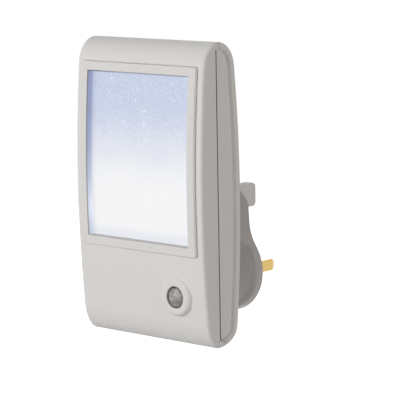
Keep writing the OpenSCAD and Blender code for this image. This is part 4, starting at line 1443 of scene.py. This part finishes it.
class NIGHT_OT_pins(bpy.types.Operator):
    """Build the three pins and their sleeves"""
    bl_idname = "night.pins"
    bl_label = "Pins"
    bl_options = {"REGISTER", "UNDO"}

    def execute(self, context):
        build_pins(*settings("case", "plug"))
        return {"FINISHED"}


class NIGHT_OT_screws(bpy.types.Operator):
    """Build the screws that hold the case together"""
    bl_idname = "night.screws"
    bl_label = "Case screws"
    bl_options = {"REGISTER", "UNDO"}

    def execute(self, context):
        build_case_screws(settings("case")[0])
        return {"FINISHED"}


class NIGHT_OT_inside(bpy.types.Operator):
    """Finish the lamp, the circuit and the fixings inside the case"""
    bl_idname = "night.inside"
    bl_label = "Parts inside"
    bl_options = {"REGISTER", "UNDO"}

    def execute(self, context):
        dress_inner_parts()
        return {"FINISHED"}


class NIGHT_OT_studio(bpy.types.Operator):
    """Build the floor, the lights and the camera"""
    bl_idname = "night.studio"
    bl_label = "Studio"
    bl_options = {"REGISTER", "UNDO"}

    def execute(self, context):
        studio = settings("studio")[0]
        build_floor(studio)
        build_world(studio)
        soft_light("key_light", -22, 17, 1.2, studio.key)
        soft_light("left_spark", -30, 4.6, 0.16, studio.spark)
        soft_light("right_spark", 3.4, 3.3, 0.16, studio.spark)
        soft_light("fill_light", 85, 10, 0.8, studio.fill, (1, 0.948, 0.912))
        soft_light("back_light", -135, 15, 0.8, studio.back)
        build_camera()
        context.scene.view_settings.view_transform = "Standard"
        return {"FINISHED"}


OPERATORS = (NIGHT_OT_case, NIGHT_OT_window, NIGHT_OT_sensor, NIGHT_OT_plug, NIGHT_OT_pins,
             NIGHT_OT_screws, NIGHT_OT_inside, NIGHT_OT_studio)


class NIGHT_PT_panel(bpy.types.Panel):
    """Sizes, colours and build steps of the night light"""
    bl_label = "Night Light"
    bl_idname = "NIGHT_PT_panel"
    bl_space_type = "VIEW_3D"
    bl_region_type = "UI"
    bl_category = "Night Light"

    def draw(self, context):
        for name in SETTINGS:
            group = getattr(context.scene, name)
            column = self.layout.box().column()
            column.label(text=name.replace("_", " ").title())
            for prop in group.bl_rna.properties:
                if prop.type == "FLOAT":
                    column.prop(group, prop.identifier)
        column = self.layout.column()
        for operator in OPERATORS:
            column.operator(operator.bl_idname)


SETTINGS = {
    "night_case": CaseSettings, "night_window": WindowSettings,
    "night_sensor": SensorSettings, "night_plug": PlugSettings,
    "night_studio": StudioSettings,
}
CLASSES = (*SETTINGS.values(), *OPERATORS, NIGHT_PT_panel)


def register():
    for cls in CLASSES:
        bpy.utils.register_class(cls)
    for name, group in SETTINGS.items():
        setattr(bpy.types.Scene, name, bpy.props.PointerProperty(type=group))


def unregister():
    for name in SETTINGS:
        delattr(bpy.types.Scene, name)
    for cls in reversed(CLASSES):
        bpy.utils.unregister_class(cls)


def main():
    register()
    bpy.ops.night.case()
    bpy.ops.night.window()
    bpy.ops.night.sensor()
    bpy.ops.night.plug()
    bpy.ops.night.pins()
    bpy.ops.night.screws()
    bpy.ops.night.inside()
    bpy.ops.night.studio()


if __name__ == "__main__":
    main()
